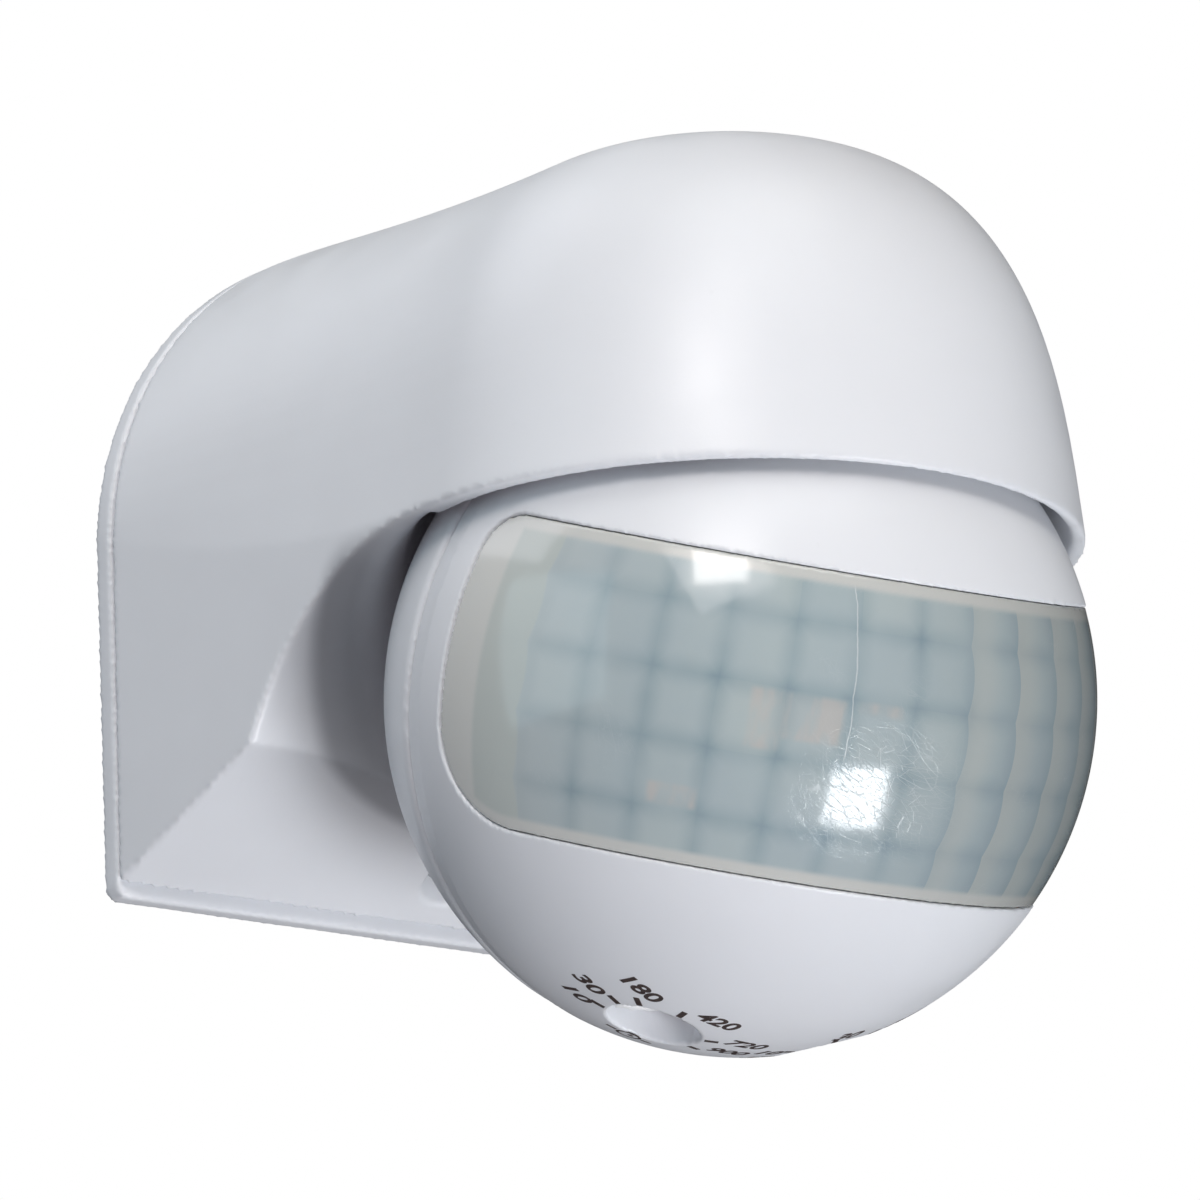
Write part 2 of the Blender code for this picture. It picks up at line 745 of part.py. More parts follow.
def make_rear_shell(parent):
    back = SEAM_Y + GAP
    outer_angle = math.degrees(math.asin((back + 1.0) / BALL_R))
    inner_angle = math.degrees(math.asin((back + 2.4) / SHELL_IN_R))
    profile = arc((0, 0), BALL_R, 90, outer_angle, 12)
    profile[0] = (0.0, BALL_R)
    profile += [(SEAM_R - 0.1, back), (FLANGE_R, back), (FLANGE_R, back + 2.4)]
    profile += arc((0, 0), SHELL_IN_R, inner_angle, 90, 6)
    profile[-1] = (0.0, SHELL_IN_R)
    shell = turned("rear_shell", profile, 48, place=BACKWARD)
    for name, x, z in SHELL_SCREWS:
        boss = rod("rear_boss_" + name, REAR_BOSS_R, (x, back, z), (x, 30, z), 20)
        keep_inside(boss, sphere("boss_trim_" + name, BALL_R - 1.1))
        join(shell, boss)
    for name, low in (("left", -RIB_X - RIB_T), ("right", RIB_X)):
        outline = arc((0, 0), RIB_R, 90, 270, 10) + [(32, -RIB_R), (32, RIB_R)]
        rib = slab("rib_" + name, [outline], low, low + RIB_T, SIDE)
        hole = rod("rib_hole_" + name, PIN_R + GAP, (low - 1, 0, 0), (low + RIB_T + 1, 0, 0), 20)
        join(shell, cut(rib, hole))
    cut(shell, slot_cutter("rear_slot"))
    for name, x, z in SHELL_SCREWS:
        cut(
            shell,
            rod("head_room_" + name, SHELL_SCREW_HEAD_R + 0.4, (x, 9.5, z), (x, 36, z), 20),
            rod("rear_clearance_" + name, SHELL_SCREW_HOLE_R, (x, 4, z), (x, 12, z), 16),
        )
    return finish(shell, white_plastic, parent)


def make_head_seal(parent):
    low = -SEAM_Y
    profile = [(33.4, low + 0.6), (33.4, low), (32.6, low), (32.6, low + 0.6)]
    seal = turned("head_seal", profile, 48, closed=True, place=FRONTWARD)
    cut(seal, slot_cutter("seal_slot"))
    return finish(seal, rubber, parent)


def make_lens(parent):
    lens = layer("fresnel_lens", LENS_R, LENS_IN_R, 2.0)
    keep_inside(lens, window_prism("lens_flange", 1.3))
    step = layer("lens_step", BALL_R + 1, LENS_STEP_R, 4.0)
    cut(step, window_prism("lens_face", -0.25))
    cut(lens, step)
    return finish(lens, lens_plastic, parent)


def make_lens_retainer(parent):
    retainer = layer("lens_retainer", 32.5, 31.2, 2.4)
    keep_inside(retainer, window_prism("retainer_outside", 2.4))
    cut(retainer, window_prism("retainer_inside", -1.6))
    return finish(retainer, inner_plastic, parent)


def make_shell_screw(name, x, z, parent):
    head = SHELL_SCREW_HEAD_R
    shank = SHELL_SCREW_HOLE_R - GAP
    profile = [(0, 11.9), (1.6, 11.9), (head, 11.2), (head, 9.8), (shank, 9.8), (shank, -1.6), (0, -2.2)]
    place = Matrix.Translation((x * MM, 0, z * MM)) @ BACKWARD
    screw = turned("shell_screw_" + name, profile, 16, place=place)
    cut(
        screw,
        box("drive_a_" + name, (x - 1.5, 10.8, z - 0.3), (x + 1.5, 13, z + 0.3)),
        box("drive_b_" + name, (x - 0.3, 10.8, z - 1.5), (x + 0.3, 13, z + 1.5)),
    )
    return finish(screw, steel, parent)


def make_tilt_pin(parent):
    pin = rod("tilt_pin", PIN_R, (-10, 0, 0), (12, 0, 0), 24)
    outside = RIB_X + RIB_T + GAP
    head = rod("tilt_pin_head", 3.4, (-outside - 1.8, 0, 0), (-outside, 0, 0), 24)
    join(pin, head)
    return finish(pin, steel, parent)


def make_tilt_nut(parent):
    outside = RIB_X + RIB_T + GAP
    sides = arc((0, 0), 3.7, 0, 300, 5)
    hole = arc((0, 0), PIN_R + GAP, 0, 345, 23)
    nut = slab("tilt_nut", [sides, hole], outside, outside + 2.2, SIDE)
    return finish(nut, steel, parent)


def make_tilt_washer(name, low, parent):
    ring = [arc((0, 0), 4.0, 0, 345, 23), arc((0, 0), PIN_R + GAP, 0, 345, 23)]
    return finish(slab("tilt_washer_" + name, ring, low, low + 0.9, SIDE), steel, parent)


# ---------------------------------------------------------------- electronics


def make_sensor_board(parent):
    back = SENSOR_Y
    front = SENSOR_Y - BOARD_T
    board = box("sensor_board", (-20, front, -12), (20, back, 18))
    for name, x in (("left", -17), ("right", 17)):
        cut(board, rod("board_hole_" + name, 1.6, (x, front - 1, 15), (x, back + 1, 15), 16))
    return finish(board, board_resin, parent)


def front_of_board(extra):
    return -(SENSOR_Y - BOARD_T) + extra


def make_pir_sensor(parent):
    low = front_of_board(GAP)
    profile = [(0, low + 4.2), (4.05, low + 4.2), (4.05, low + 0.7), (4.6, low + 0.7), (4.6, low), (0, low)]
    return finish(turned("pir_sensor", profile, 28, place=FRONTWARD), steel, parent)


def make_pir_filter(parent):
    near = -front_of_board(GAP + 4.2 + GAP)
    pane = box("pir_filter", (-2.2, near - 0.4, -1.7), (2.2, near, 1.7))
    return finish(pane, dark_plastic, parent)


def make_light_sensor(parent):
    low = front_of_board(GAP)
    place = Matrix.Translation((12 * MM, 0, -6 * MM)) @ FRONTWARD
    profile = [(0, low + 2.1), (2.5, low + 2.1), (2.5, low), (0, low)]
    cell = turned("light_sensor", profile, 20, place=place)
    return finish(cell, coloured_plastic((0.7, 0.35, 0.12)), parent)


def make_indicator_led(parent):
    low = front_of_board(GAP)
    place = Matrix.Translation((-12 * MM, 0, -6 * MM)) @ FRONTWARD
    profile = [(0, low + 5.0)] + arc((0, low + 3.5), 1.5, 67.5, 0, 3)
    profile += [(1.5, low + 1.0), (1.9, low + 1.0), (1.9, low), (0, low)]
    led = turned("indicator_led", profile, 20, place=place)
    return finish(led, coloured_plastic((0.7, 0.05, 0.04)), parent)


def make_motion_chip(parent):
    near = -front_of_board(GAP)
    return finish(box("motion_chip", (-5, near - 1.6, 8), (5, near, 14)), dark_plastic, parent)


def make_power_board(parent):
    board = box("power_board", (-POWER_HALF, -19, POWER_Z - BOARD_T), (POWER_HALF, 19, POWER_Z))
    for x, y in ((-13.5, -15), (13.5, -15)):
        cut(board, rod("power_hole", 1.6, (x, y, POWER_Z - 3), (x, y, POWER_Z + 1), 16))
    return finish(board, board_resin, parent)


def make_relay(parent):
    low = POWER_Z + GAP
    relay = box("relay", (9.5, 5, low), (16.8, 18.5, low + 12.5))
    bevel = relay.modifiers.new("edges", "BEVEL")
    bevel.width = 0.5 * MM
    bevel.segments = 2
    return finish(relay, coloured_plastic((0.03, 0.12, 0.35)), parent)


def make_film_capacitor(parent):
    low = POWER_Z + GAP
    body = box("film_capacitor", (-16.8, 5, low), (-9.6, 18, low + 11.0))
    bevel = body.modifiers.new("edges", "BEVEL")
    bevel.width = 0.8 * MM
    bevel.segments = 2
    return finish(body, coloured_plastic((0.55, 0.16, 0.05)), parent)


def make_electrolytic_capacitor(parent):
    low = POWER_Z + GAP
    place = Matrix.Translation((0, 12 * MM, 0))
    profile = [(0, low + 9.0), (3.6, low + 9.0), (4.0, low + 8.6), (4.0, low + 1.6), (3.8, low + 1.2)]
    profile += [(4.0, low + 0.8), (4.0, low), (0, low)]
    return finish(turned("electrolytic_capacitor", profile, 24, place=place), dark_plastic, parent)


def make_lead_connector(parent):
    low = POWER_Z + GAP
    body = box("lead_connector", (-6, -16, low), (4, -11, low + 3.0))
    for x in (-4, -1, 2):
        cut(body, box("lead_way", (x - 0.8, -15.2, low + 1), (x + 0.8, -11.8, low + 9)))
    return finish(body, inner_plastic, parent)


def make_board_link(parent):
    return finish(box("board_link", (-7, -8.7, -13.7), (7, -6.2, -9.0)), dark_plastic, parent)


def make_potentiometer(name, x, parent):
    high = POWER_Z - BOARD_T - GAP
    body = box(name, (x - 4.8, -5, high - 5), (x + 4.8, 5, high))
    cut(body, rod(name + "_bore", KNOB_SHAFT_R + 0.35, (x, 0, high - 7), (x, 0, high - 1.5), 16))
    return finish(body, coloured_plastic((0.06, 0.16, 0.42)), parent)


def make_dial_knob(name, parent):
    """A fluted knob on its own axis, with a dished face, a screwdriver slot and a short shaft."""
    outline = []
    for i in range(FLUTES * 4):
        angle = 2 * math.pi * i / (FLUTES * 4)
        radius = KNOB_R - FLUTE_DEPTH * (1 - math.cos(FLUTES * angle))
        outline.append((radius * math.cos(angle), radius * math.sin(angle)))
    knob = slab(name, [outline], KNOB_FACE, KNOB_BACK - 0.2)
    skirt = rod(name + "_skirt", SKIRT_R, (0, 0, SKIRT_FACE), (0, 0, KNOB_BACK), 40)
    shaft = rod(name + "_shaft", KNOB_SHAFT_R, (0, 0, KNOB_BACK - 1), (0, 0, POWER_Z - 4.2), 16)
    join(knob, skirt, shaft)
    dish = [(0, KNOB_FACE + 0.7), (2.6, KNOB_FACE + 0.7), (3.3, KNOB_FACE - 0.5), (0, KNOB_FACE - 0.5)]
    slot = box(name + "_slot", (-3.0, -0.5, KNOB_FACE - 1), (3.0, 0.5, KNOB_FACE + 1.8))
    cut(knob, turned(name + "_dish", dish, 24), slot)
    return finish(knob, white_plastic, parent)


# ---------------------------------------------------------------- assembly


def make_base():
    make_wall_plate()
    make_cover_seal()
    make_cable_grommet()
    make_hood()
    make_cover_screw()
    make_terminal_block()
    for name, x in TERMINALS:
        make_terminal_screw(name, x)
    make_friction_washer()
    make_hood_lead()


def make_bracket(pan):
    make_swivel_stem(pan)
    make_swivel_nut(pan)


def make_head(tilt, board):
    make_front_shell(tilt, board)
    make_rear_shell(tilt)
    make_head_seal(tilt)
    make_lens(tilt)
    make_lens_retainer(tilt)
    for name, x, z in SHELL_SCREWS:
        make_shell_screw(name, x, z, tilt)
    make_tilt_pin(tilt)
    make_tilt_nut(tilt)
    make_tilt_washer("left", -RIB_X + GAP, tilt)
    make_tilt_washer("right", RIB_X - GAP - 0.9, tilt)
    make_sensor_board(tilt)
    make_pir_sensor(tilt)
    make_pir_filter(tilt)
    make_light_sensor(tilt)
    make_indicator_led(tilt)
    make_motion_chip(tilt)
    make_board_link(tilt)


def make_power_side(board):
    make_power_board(board)
    make_relay(board)
    make_film_capacitor(board)
    make_electrolytic_capacitor(board)
    make_lead_connector(board)
    for name, x in (("time", -DIAL_X), ("lux", DIAL_X)):
        make_potentiometer(name + "_potentiometer", x, board)
        axis = axis_empty(name + "_dial_axis", (x, 0, 0), (0, 0, 0), board)
        make_dial_knob(name + "_knob", axis)


clear_scene()
PARTS = new_collection("motion_sensor", bpy.context.scene.collection)
CUTTERS = new_collection("cutters", bpy.context.scene.collection)

pan_axis = axis_empty("pan_axis", BALL_CENTRE, (0, 0, REST_PAN))
tilt_axis = axis_empty("tilt_axis", (0, 0, 0), (REST_TILT, 0, 0), pan_axis)
board_frame = axis_empty("board_frame", (0, 0, 0), (BOARD_LEAN, 0, 0), tilt_axis)

make_base()
make_bracket(pan_axis)
make_head(tilt_axis, board_frame)
make_power_side(board_frame)
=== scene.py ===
"""The looks of the motion sensor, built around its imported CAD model.

Lengths are in millimetres unless a comment says otherwise, and angles are in degrees. Shapes use the same
driving sizes as the CAD part, at a finer resolution and with rounded edges. Head pieces are drawn about the
ball's centre and then moved to the head's resting place.
"""

import math

import bmesh
import bpy
from mathutils import Matrix, Vector


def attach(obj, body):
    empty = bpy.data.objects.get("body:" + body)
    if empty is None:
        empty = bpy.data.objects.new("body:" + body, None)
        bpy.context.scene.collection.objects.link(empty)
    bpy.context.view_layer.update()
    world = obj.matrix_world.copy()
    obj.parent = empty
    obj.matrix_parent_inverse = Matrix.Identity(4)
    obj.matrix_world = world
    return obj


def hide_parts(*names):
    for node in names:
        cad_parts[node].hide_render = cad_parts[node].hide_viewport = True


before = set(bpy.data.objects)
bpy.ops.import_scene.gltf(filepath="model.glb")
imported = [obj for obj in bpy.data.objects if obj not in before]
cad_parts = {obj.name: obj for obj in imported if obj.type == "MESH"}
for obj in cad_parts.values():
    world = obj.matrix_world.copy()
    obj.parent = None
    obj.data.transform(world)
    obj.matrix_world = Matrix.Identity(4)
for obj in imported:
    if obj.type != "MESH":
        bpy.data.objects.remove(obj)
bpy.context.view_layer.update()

MM = 0.001
GAP = 0.3

# Resting pan and tilt of the head, and how far the boards and dials lean inside it
REST_PAN = -4.0
REST_TILT = 20.0
BOARD_LEAN = -17.0

# Ball head
BALL_R = 35.0
SHELL = 2.2
SHELL_IN_R = BALL_R - SHELL
SEAM_Y = 5.6
CREASE_Y = 2.2
BALL_CENTRE = Vector((0.0, -57.3, -23.0))

# Back plate and hood
PLATE_R = 38.0
ARCH_RISE = 0.978
PLATE_FOOT = -36.9
PLATE_FOOT_HALF = 36.9
PLATE_T = 2.6
HOOD_WALL = 2.2
HOOD_BACK_Y = -(PLATE_T + GAP)
DOME_R = 35.3
DOME_Y = BALL_CENTRE.y + 1.5
DOME_TOP = 32.3
DOME_SQUARE = 3.2
DOME_LEAN = 4.2
TUNNEL_EASE = 2.2
RIM_Z = BALL_CENTRE.z + 15.0
SOCKET_R = BALL_R + 1.2
SCOOP_CENTRE = Vector((5.0, -15.4))
SCOOP_R = 30.4
SCOOP_START = 25.1
SCOOP_BALL_R = 35.6
SCOOP_BLEND = 8

# Distances from the ball's centre over which painted shade greys the hood's hollow, and over which that
# painted shade fades out again next to the ball
HOLLOW_SHADE_FADES = (43.4, 41.4)
SHADE_CLEAR_FADES = (39.6, 37.0)

# Cover screw, cable entry and fixing slots
SCREW_Y = -10.0
SCREW_SEAT_Z = -29.5
SCREW_POCKET_R = 3.8
SCREW_BOSS_R = 5.6
SCREW_BOSS_BACK = -5.4
SCREW_HOLE_R = 1.8
CABLE_Z = -12.0
CABLE_HOLE_R = 7.5
SLOT_X = 24.0
SLOT_W = 5.0
SLOT_L = 10.0

# Stem, its boss in the hood and its slot in the ball; the slot's angles lean back from straight up
STEM_R = 5.0
BOSS_R = 9.5
BOSS_TOP = 40.0
PIN_R = 2.0
RIB_X = 7.0
RIB_T = 2.0
RIB_R = 4.2
SLOT_HALF = 6.7
SLOT_FROM = -12.5
SLOT_TO = 52.5

# Lens window, as a side outline that is cut across the ball
WINDOW_HALF = 14.8
WINDOW_BACK = -1.3
WINDOW_TOP_CORNER = 4.0
WINDOW_LOW_CORNER = 9.0
LENS_R = 34.85
LENS_STEP_R = 33.8
LENS_IN_R = 33.1
LENS_GAP = 0.06

# Dials
DIAL_X = 9.9
DIAL_HOLE_R = 4.5
KNOB_R = 4.15
KNOB_FACE = -31.2
KNOB_BACK = -27.0
SKIRT_R = 5.3
SKIRT_FACE = -28.4
POTENTIOMETER_Z = -20.2
FLUTES = 12
FLUTE_DEPTH = 0.25
COLLAR_R = 5.7
COLLAR_BACK = -28.8

# Screws that hold the shells together, by their X and Z
SHELL_SCREWS = ((-19.3, 23.0), (19.3, 23.0), (-21.5, -21.0), (21.5, -21.0))
SHELL_BOSS_R = 4.0

# Lens cells, in degrees round and up the lens, and the columns where the look of the cells changes
CELL_TURN = 10.64
CELL_RISE = 10.9
FIRST_COLUMN = -6.9
PLAIN_COLUMN = -6.0
STEPPED_COLUMN = 0.2

# Dial print: each number with the angle of its tick, from +X toward the front, and its own lower left corner
TICK_R = 5.65
TICK_L = 1.35
TICK_W = 0.6
TEXT_SIZE = 2.5
TEXT_WIDEN = 1.15
TEXT_SLANT = 0.22
PRINT_LIFT = 0.018
PRINT_DEPTH = 0.06
TIME_SCALE = (
    ("10", 196.0, (-8.8, -3.5)),
    ("30", 166.0, (-9.6, 0.0)),
    ("180", 139.0, (-7.7, 5.0)),
    ("420", 95.0, (0.5, 6.2)),
    ("720", 25.0, (6.1, 2.7)),
    ("900", -13.0, (6.3, -0.8)),
)
LUX_SCALE = (
    ("3", 196.0, (-7.6, -3.5)),
    ("10", 160.0, (-9.0, 0.6)),
    ("30", 112.0, (-3.2, 5.9)),
    ("100", 60.0, (3.4, 5.0)),
    ("300", 10.0, (6.1, 0.6)),
)

# Camera: its place in metres, and the angles that it looks from
CAMERA_PLACE = (-0.422534, -0.588497, -0.194157)
CAMERA_AZIMUTH = -37.3487
CAMERA_ELEVATION = -14.9781
CAMERA_ROLL = -1.0279
CAMERA_LENS = 214.2
CAMERA_SENSOR = 36.0

# Softboxes: name, azimuth, elevation, distance and size in metres, power, colour, seen in reflections, roll
SOFTBOXES = (
    ("front_low_softbox", 8, -40, 0.8, 0.25, 4.05, (0.975, 0.997, 1.028), True, 12),
    ("key_softbox", -44, 31, 0.9, 0.25, 1.75, (1.05, 0.99, 0.96), True, 0),
    ("key_spill", -44, 30, 0.92, 0.42, 1.5, (1.05, 0.99, 0.96), True, 25),
    ("top_softbox", -20, 62, 0.9, 0.7, 3.95, (0.99, 1.0, 0.99), True, 0),
    ("left_softbox", -100, 10, 1.0, 0.7, 1.4, (0.76, 1.05, 1.16), True, 0),
    ("left_top_softbox", -130, 50, 1.0, 0.6, 1.7, (0.98, 0.99, 1.06), True, 0),
    ("left_low_softbox", -80, -35, 0.9, 0.6, 0.86, (1.12, 0.96, 1.05), False, 0),
    ("right_low_softbox", 70, -35, 0.9, 0.6, 1.6, (0.99, 0.995, 1.02), False, 0),
)
AMBIENT_LIGHT = 0.03

# Turns from a drawing's own plane to its place: onto the side view, and from local Z to the front or the back
SIDE = Matrix(((0, 0, 1, 0), (1, 0, 0, 0), (0, 1, 0, 0), (0, 0, 0, 1)))
FRONTWARD = Matrix.Rotation(math.radians(90), 4, "X")
BACKWARD = Matrix.Rotation(math.radians(-90), 4, "X")
HEAD = (
    Matrix.Translation(BALL_CENTRE * MM)
    @ Matrix.Rotation(math.radians(REST_PAN), 4, "Z")
    @ Matrix.Rotation(math.radians(REST_TILT), 4, "X")
)
BOARD = Matrix.Rotation(math.radians(BOARD_LEAN), 4, "X")

# Turns a mesh off the grid that evens out its skin
GRID_TURN = Matrix.Rotation(math.radians(33), 4, Vector((1.0, 0.7, 0.4)))


# ---------------------------------------------------------------- shapes


def add_object(name, data):
    obj = bpy.data.objects.new(name, data)
    bpy.context.scene.collection.objects.link(obj)
    return obj


def from_bmesh(name, shape, place=None):
    """A new object whose mesh is scaled to metres and already in its place."""
    bmesh.ops.recalc_face_normals(shape, faces=shape.faces)
    bmesh.ops.scale(shape, vec=(MM, MM, MM), verts=shape.verts)
    mesh = bpy.data.meshes.new(name)
    shape.to_mesh(mesh)
    shape.free()
    if place is not None:
        mesh.transform(place)
    return add_object(name, mesh)


def box(name, low, high):
    shape = bmesh.new()
    bmesh.ops.create_cube(shape, size=1.0)
    bmesh.ops.scale(shape, vec=Vector(high) - Vector(low), verts=shape.verts)
    bmesh.ops.translate(shape, vec=(Vector(high) + Vector(low)) / 2, verts=shape.verts)
    return from_bmesh(name, shape)


def rod(name, radius, start, end, segments=64, place=None):
    start = Vector(start)
    along = Vector(end) - start
    turn = along.to_track_quat("Z", "Y").to_matrix().to_4x4()
    shape = bmesh.new()
    bmesh.ops.create_cone(
        shape,
        cap_ends=True,
        segments=segments,
        radius1=radius,
        radius2=radius,
        depth=along.length,
        matrix=Matrix.Translation(start + along / 2) @ turn,
    )
    return from_bmesh(name, shape, place)


def ball(name, radius, centre=(0, 0, 0), segments=128):
    shape = bmesh.new()
    bmesh.ops.create_uvsphere(shape, u_segments=segments, v_segments=segments // 2, radius=radius)
    bmesh.ops.translate(shape, vec=centre, verts=shape.verts)
    return from_bmesh(name, shape)


def turned(name, profile, segments=128, closed=False, place=None):
    """A profile of (radius, height) points turned about the local Z axis."""
    shape = bmesh.new()
    points = [shape.verts.new((radius, 0.0, height)) for radius, height in profile]
    pairs = list(zip(points, points[1:]))
    if closed:
        pairs.append((points[-1], points[0]))
    edges = [shape.edges.new(pair) for pair in pairs]
    bmesh.ops.spin(
        shape,
        geom=points + edges,
        cent=(0, 0, 0),
        axis=(0, 0, 1),
        angle=2 * math.pi,
        steps=segments,
        use_merge=True,
    )
    bmesh.ops.remove_doubles(shape, verts=shape.verts, dist=0.002)
    return from_bmesh(name, shape, place)


def curve_shape(name, curve):
    """The mesh that a curve fills, in millimetres and ready to edit; the curve itself goes."""
    drawn = add_object(name + "_outline", curve)
    graph = bpy.context.evaluated_depsgraph_get()
    mesh = bpy.data.meshes.new_from_object(drawn.evaluated_get(graph))
    bpy.data.objects.remove(drawn, do_unlink=True)
    bpy.data.curves.remove(curve)
    shape = bmesh.new()
    shape.from_mesh(mesh)
    bpy.data.meshes.remove(mesh)
    bmesh.ops.scale(shape, vec=(1 / MM, 1 / MM, 1 / MM), verts=shape.verts)
    return shape


def slab(name, outlines, low, high, place=None):
    """A flat outline in the local XY plane, with any holes, thick from low to high along local Z."""
    curve = bpy.data.curves.new(name, "CURVE")
    curve.dimensions = "2D"
    curve.fill_mode = "BOTH"
    curve.extrude = (high - low) / 2 * MM
    for outline in outlines:
        spline = curve.splines.new("POLY")
        spline.points.add(len(outline) - 1)
        for point, (x, y) in zip(spline.points, outline):
            point.co = (x * MM, y * MM, 0.0, 1.0)
        spline.use_cyclic_u = True
    shape = curve_shape(name, curve)
    bmesh.ops.remove_doubles(shape, verts=shape.verts, dist=0.001)
    bmesh.ops.translate(shape, vec=(0, 0, (high + low) / 2), verts=shape.verts)
    return from_bmesh(name, shape, place)


def loft(name, stations, cap_foot=False):
    """A skin through stations of equal length, with flat ends; cap_foot also closes its foot flat."""
    shape = bmesh.new()
    rows = [[shape.verts.new(point) for point in station] for station in stations]
    for row, following in zip(rows, rows[1:]):
        for i in range(len(row) - 1):
            shape.faces.new((row[i], row[i + 1], following[i + 1], following[i]))
    if cap_foot:
        shape.faces.new([row[0] for row in rows])
        shape.faces.new(rows[0] + rows[-1][::-1])
    else:
        for row, following in zip(rows, rows[1:]):
            shape.faces.new((row[-1], row[0], following[0], following[-1]))
        shape.faces.new(rows[0])
        shape.faces.new(rows[-1][::-1])
    bmesh.ops.remove_doubles(shape, verts=shape.verts, dist=0.001)
    return from_bmesh(name, shape)


def arc(centre, radius, start, end, steps):
    """Points on an arc between two angles in degrees, ends included."""
    points = []
    for i in range(steps + 1):
        angle = math.radians(start + (end - start) * i / steps)
        points.append((centre[0] + radius * math.cos(angle), centre[1] + radius * math.sin(angle)))
    return points


def apply_modifiers(obj):
    graph = bpy.context.evaluated_depsgraph_get()
    mesh = bpy.data.meshes.new_from_object(obj.evaluated_get(graph))
    unshaped = obj.data
    obj.modifiers.clear()
    obj.data = mesh
    bpy.data.meshes.remove(unshaped)
    return obj


def boolean(target, operation, *tools):
    for tool in tools:
        modifier = target.modifiers.new(tool.name, "BOOLEAN")
        modifier.operation = operation
        modifier.solver = "MANIFOLD"
        modifier.object = tool
    apply_modifiers(target)
    for tool in tools:
        bpy.data.objects.remove(tool, do_unlink=True)
    return target


def cut(target, *tools):
    return boolean(target, "DIFFERENCE", *tools)


def join(target, *tools):
    return boolean(target, "UNION", *tools)


def keep_inside(target, *tools):
    return boolean(target, "INTERSECT", *tools)


def soften(obj, voxel, rounds, keep=1.0):
    """Even out the skin and round every edge, as a mould does, on a grid that no face lies along."""
    obj.data.transform(GRID_TURN)
    skin = obj.modifiers.new("skin", "REMESH")
    skin.mode = "VOXEL"
    skin.voxel_size = voxel * MM
    skin.use_smooth_shade = True
    rounding = obj.modifiers.new("rounding", "SMOOTH")
    rounding.factor = 0.5
    rounding.iterations = rounds
    if keep < 1.0:
        thin = obj.modifiers.new("thin", "DECIMATE")
        thin.ratio = keep
    apply_modifiers(obj)
    obj.data.transform(GRID_TURN.inverted())
    shade_smooth(obj)
    return obj


def true_up(obj, radius, reach=0.06):
    """Put the points that are nearly on a ball about the origin exactly on it."""
    for vertex in obj.data.vertices:
        length = vertex.co.length / MM
        if abs(length - radius) < reach:
            vertex.co *= radius / length


def shade_smooth(obj):
    obj.data.polygons.foreach_set("use_smooth", [True] * len(obj.data.polygons))


# ---------------------------------------------------------------- materials


def new_material(name, colour, roughness, **settings):
    """A material with its Principled shader, and the shader's own sockets set by name."""
    material = bpy.data.materials.new(name)
    material.use_nodes = True
    shader = material.node_tree.nodes["Principled BSDF"]
    shader.inputs["Base Color"].default_value = (*colour, 1.0)
    shader.inputs["Roughness"].default_value = roughness
    for key, value in settings.items():
        shader.inputs[key.replace("_", " ").title()].default_value = value
    return material, material.node_tree, shader


def set_soft(shader, weight, reach):
    """Let light spread under the surface, by a reach in millimetres for each of red, green and blue."""
    shader.inputs["Subsurface Weight"].default_value = weight
    shader.inputs["Subsurface Radius"].default_value = reach
    shader.inputs["Subsurface Scale"].default_value = MM


def feed(tree, shader, colour, roughness, normal):
    tree.links.new(colour, shader.inputs["Base Color"])
    tree.links.new(roughness, shader.inputs["Roughness"])
    tree.links.new(normal, shader.inputs["Normal"])


def node(tree, kind, **settings):
    made = tree.nodes.new(kind)
    for key, value in settings.items():
        setattr(made, key, value)
    return made


def place_of(tree):
    return node(tree, "ShaderNodeTexCoord").outputs["Object"]


def noise(tree, size, detail=2.0, rough=0.5, stretch=None):
    """Noise whose lumps are about size millimetres across."""
    texture = node(tree, "ShaderNodeTexNoise")
    texture.inputs["Scale"].default_value = 1.0 / (size * MM)
    texture.inputs["Detail"].default_value = detail
    texture.inputs["Roughness"].default_value = rough
    source = place_of(tree)
    if stretch is not None:
        mapping = node(tree, "ShaderNodeMapping")
        mapping.inputs["Scale"].default_value = stretch
        tree.links.new(source, mapping.inputs["Vector"])
        source = mapping.outputs["Vector"]
    tree.links.new(source, texture.inputs["Vector"])
    return texture.outputs["Fac"]


def spread(tree, value, low, high, from_low=0.3, from_high=0.7):
    """A value moved from one range to another, clamped."""
    ranger = node(tree, "ShaderNodeMapRange")
    ranger.inputs["From Min"].default_value = from_low
    ranger.inputs["From Max"].default_value = from_high
    ranger.inputs["To Min"].default_value = low
    ranger.inputs["To Max"].default_value = high
    tree.links.new(value, ranger.inputs["Value"])
    return ranger.outputs["Result"]


def smooth_step(tree, value, start, end):
    ranger = node(tree, "ShaderNodeMapRange", interpolation_type="SMOOTHSTEP")
    ranger.inputs["From Min"].default_value = start
    ranger.inputs["From Max"].default_value = end
    tree.links.new(value, ranger.inputs["Value"])
    return ranger.outputs["Result"]


def calculate(tree, operation, first, second=None):
    """A math node on sockets or plain numbers."""
    math_node = node(tree, "ShaderNodeMath", operation=operation)
    for socket, value in zip(math_node.inputs, (first, second)):
        if value is None:
            continue
        if isinstance(value, (int, float)):
            socket.default_value = value
        else:
            tree.links.new(value, socket)
    return math_node.outputs["Value"]


def times(tree, first, second):
    return calculate(tree, "MULTIPLY", first, second)


def minus(tree, first, second):
    return calculate(tree, "SUBTRACT", first, second)


def greater(tree, first, second):
    return calculate(tree, "MAXIMUM", first, second)


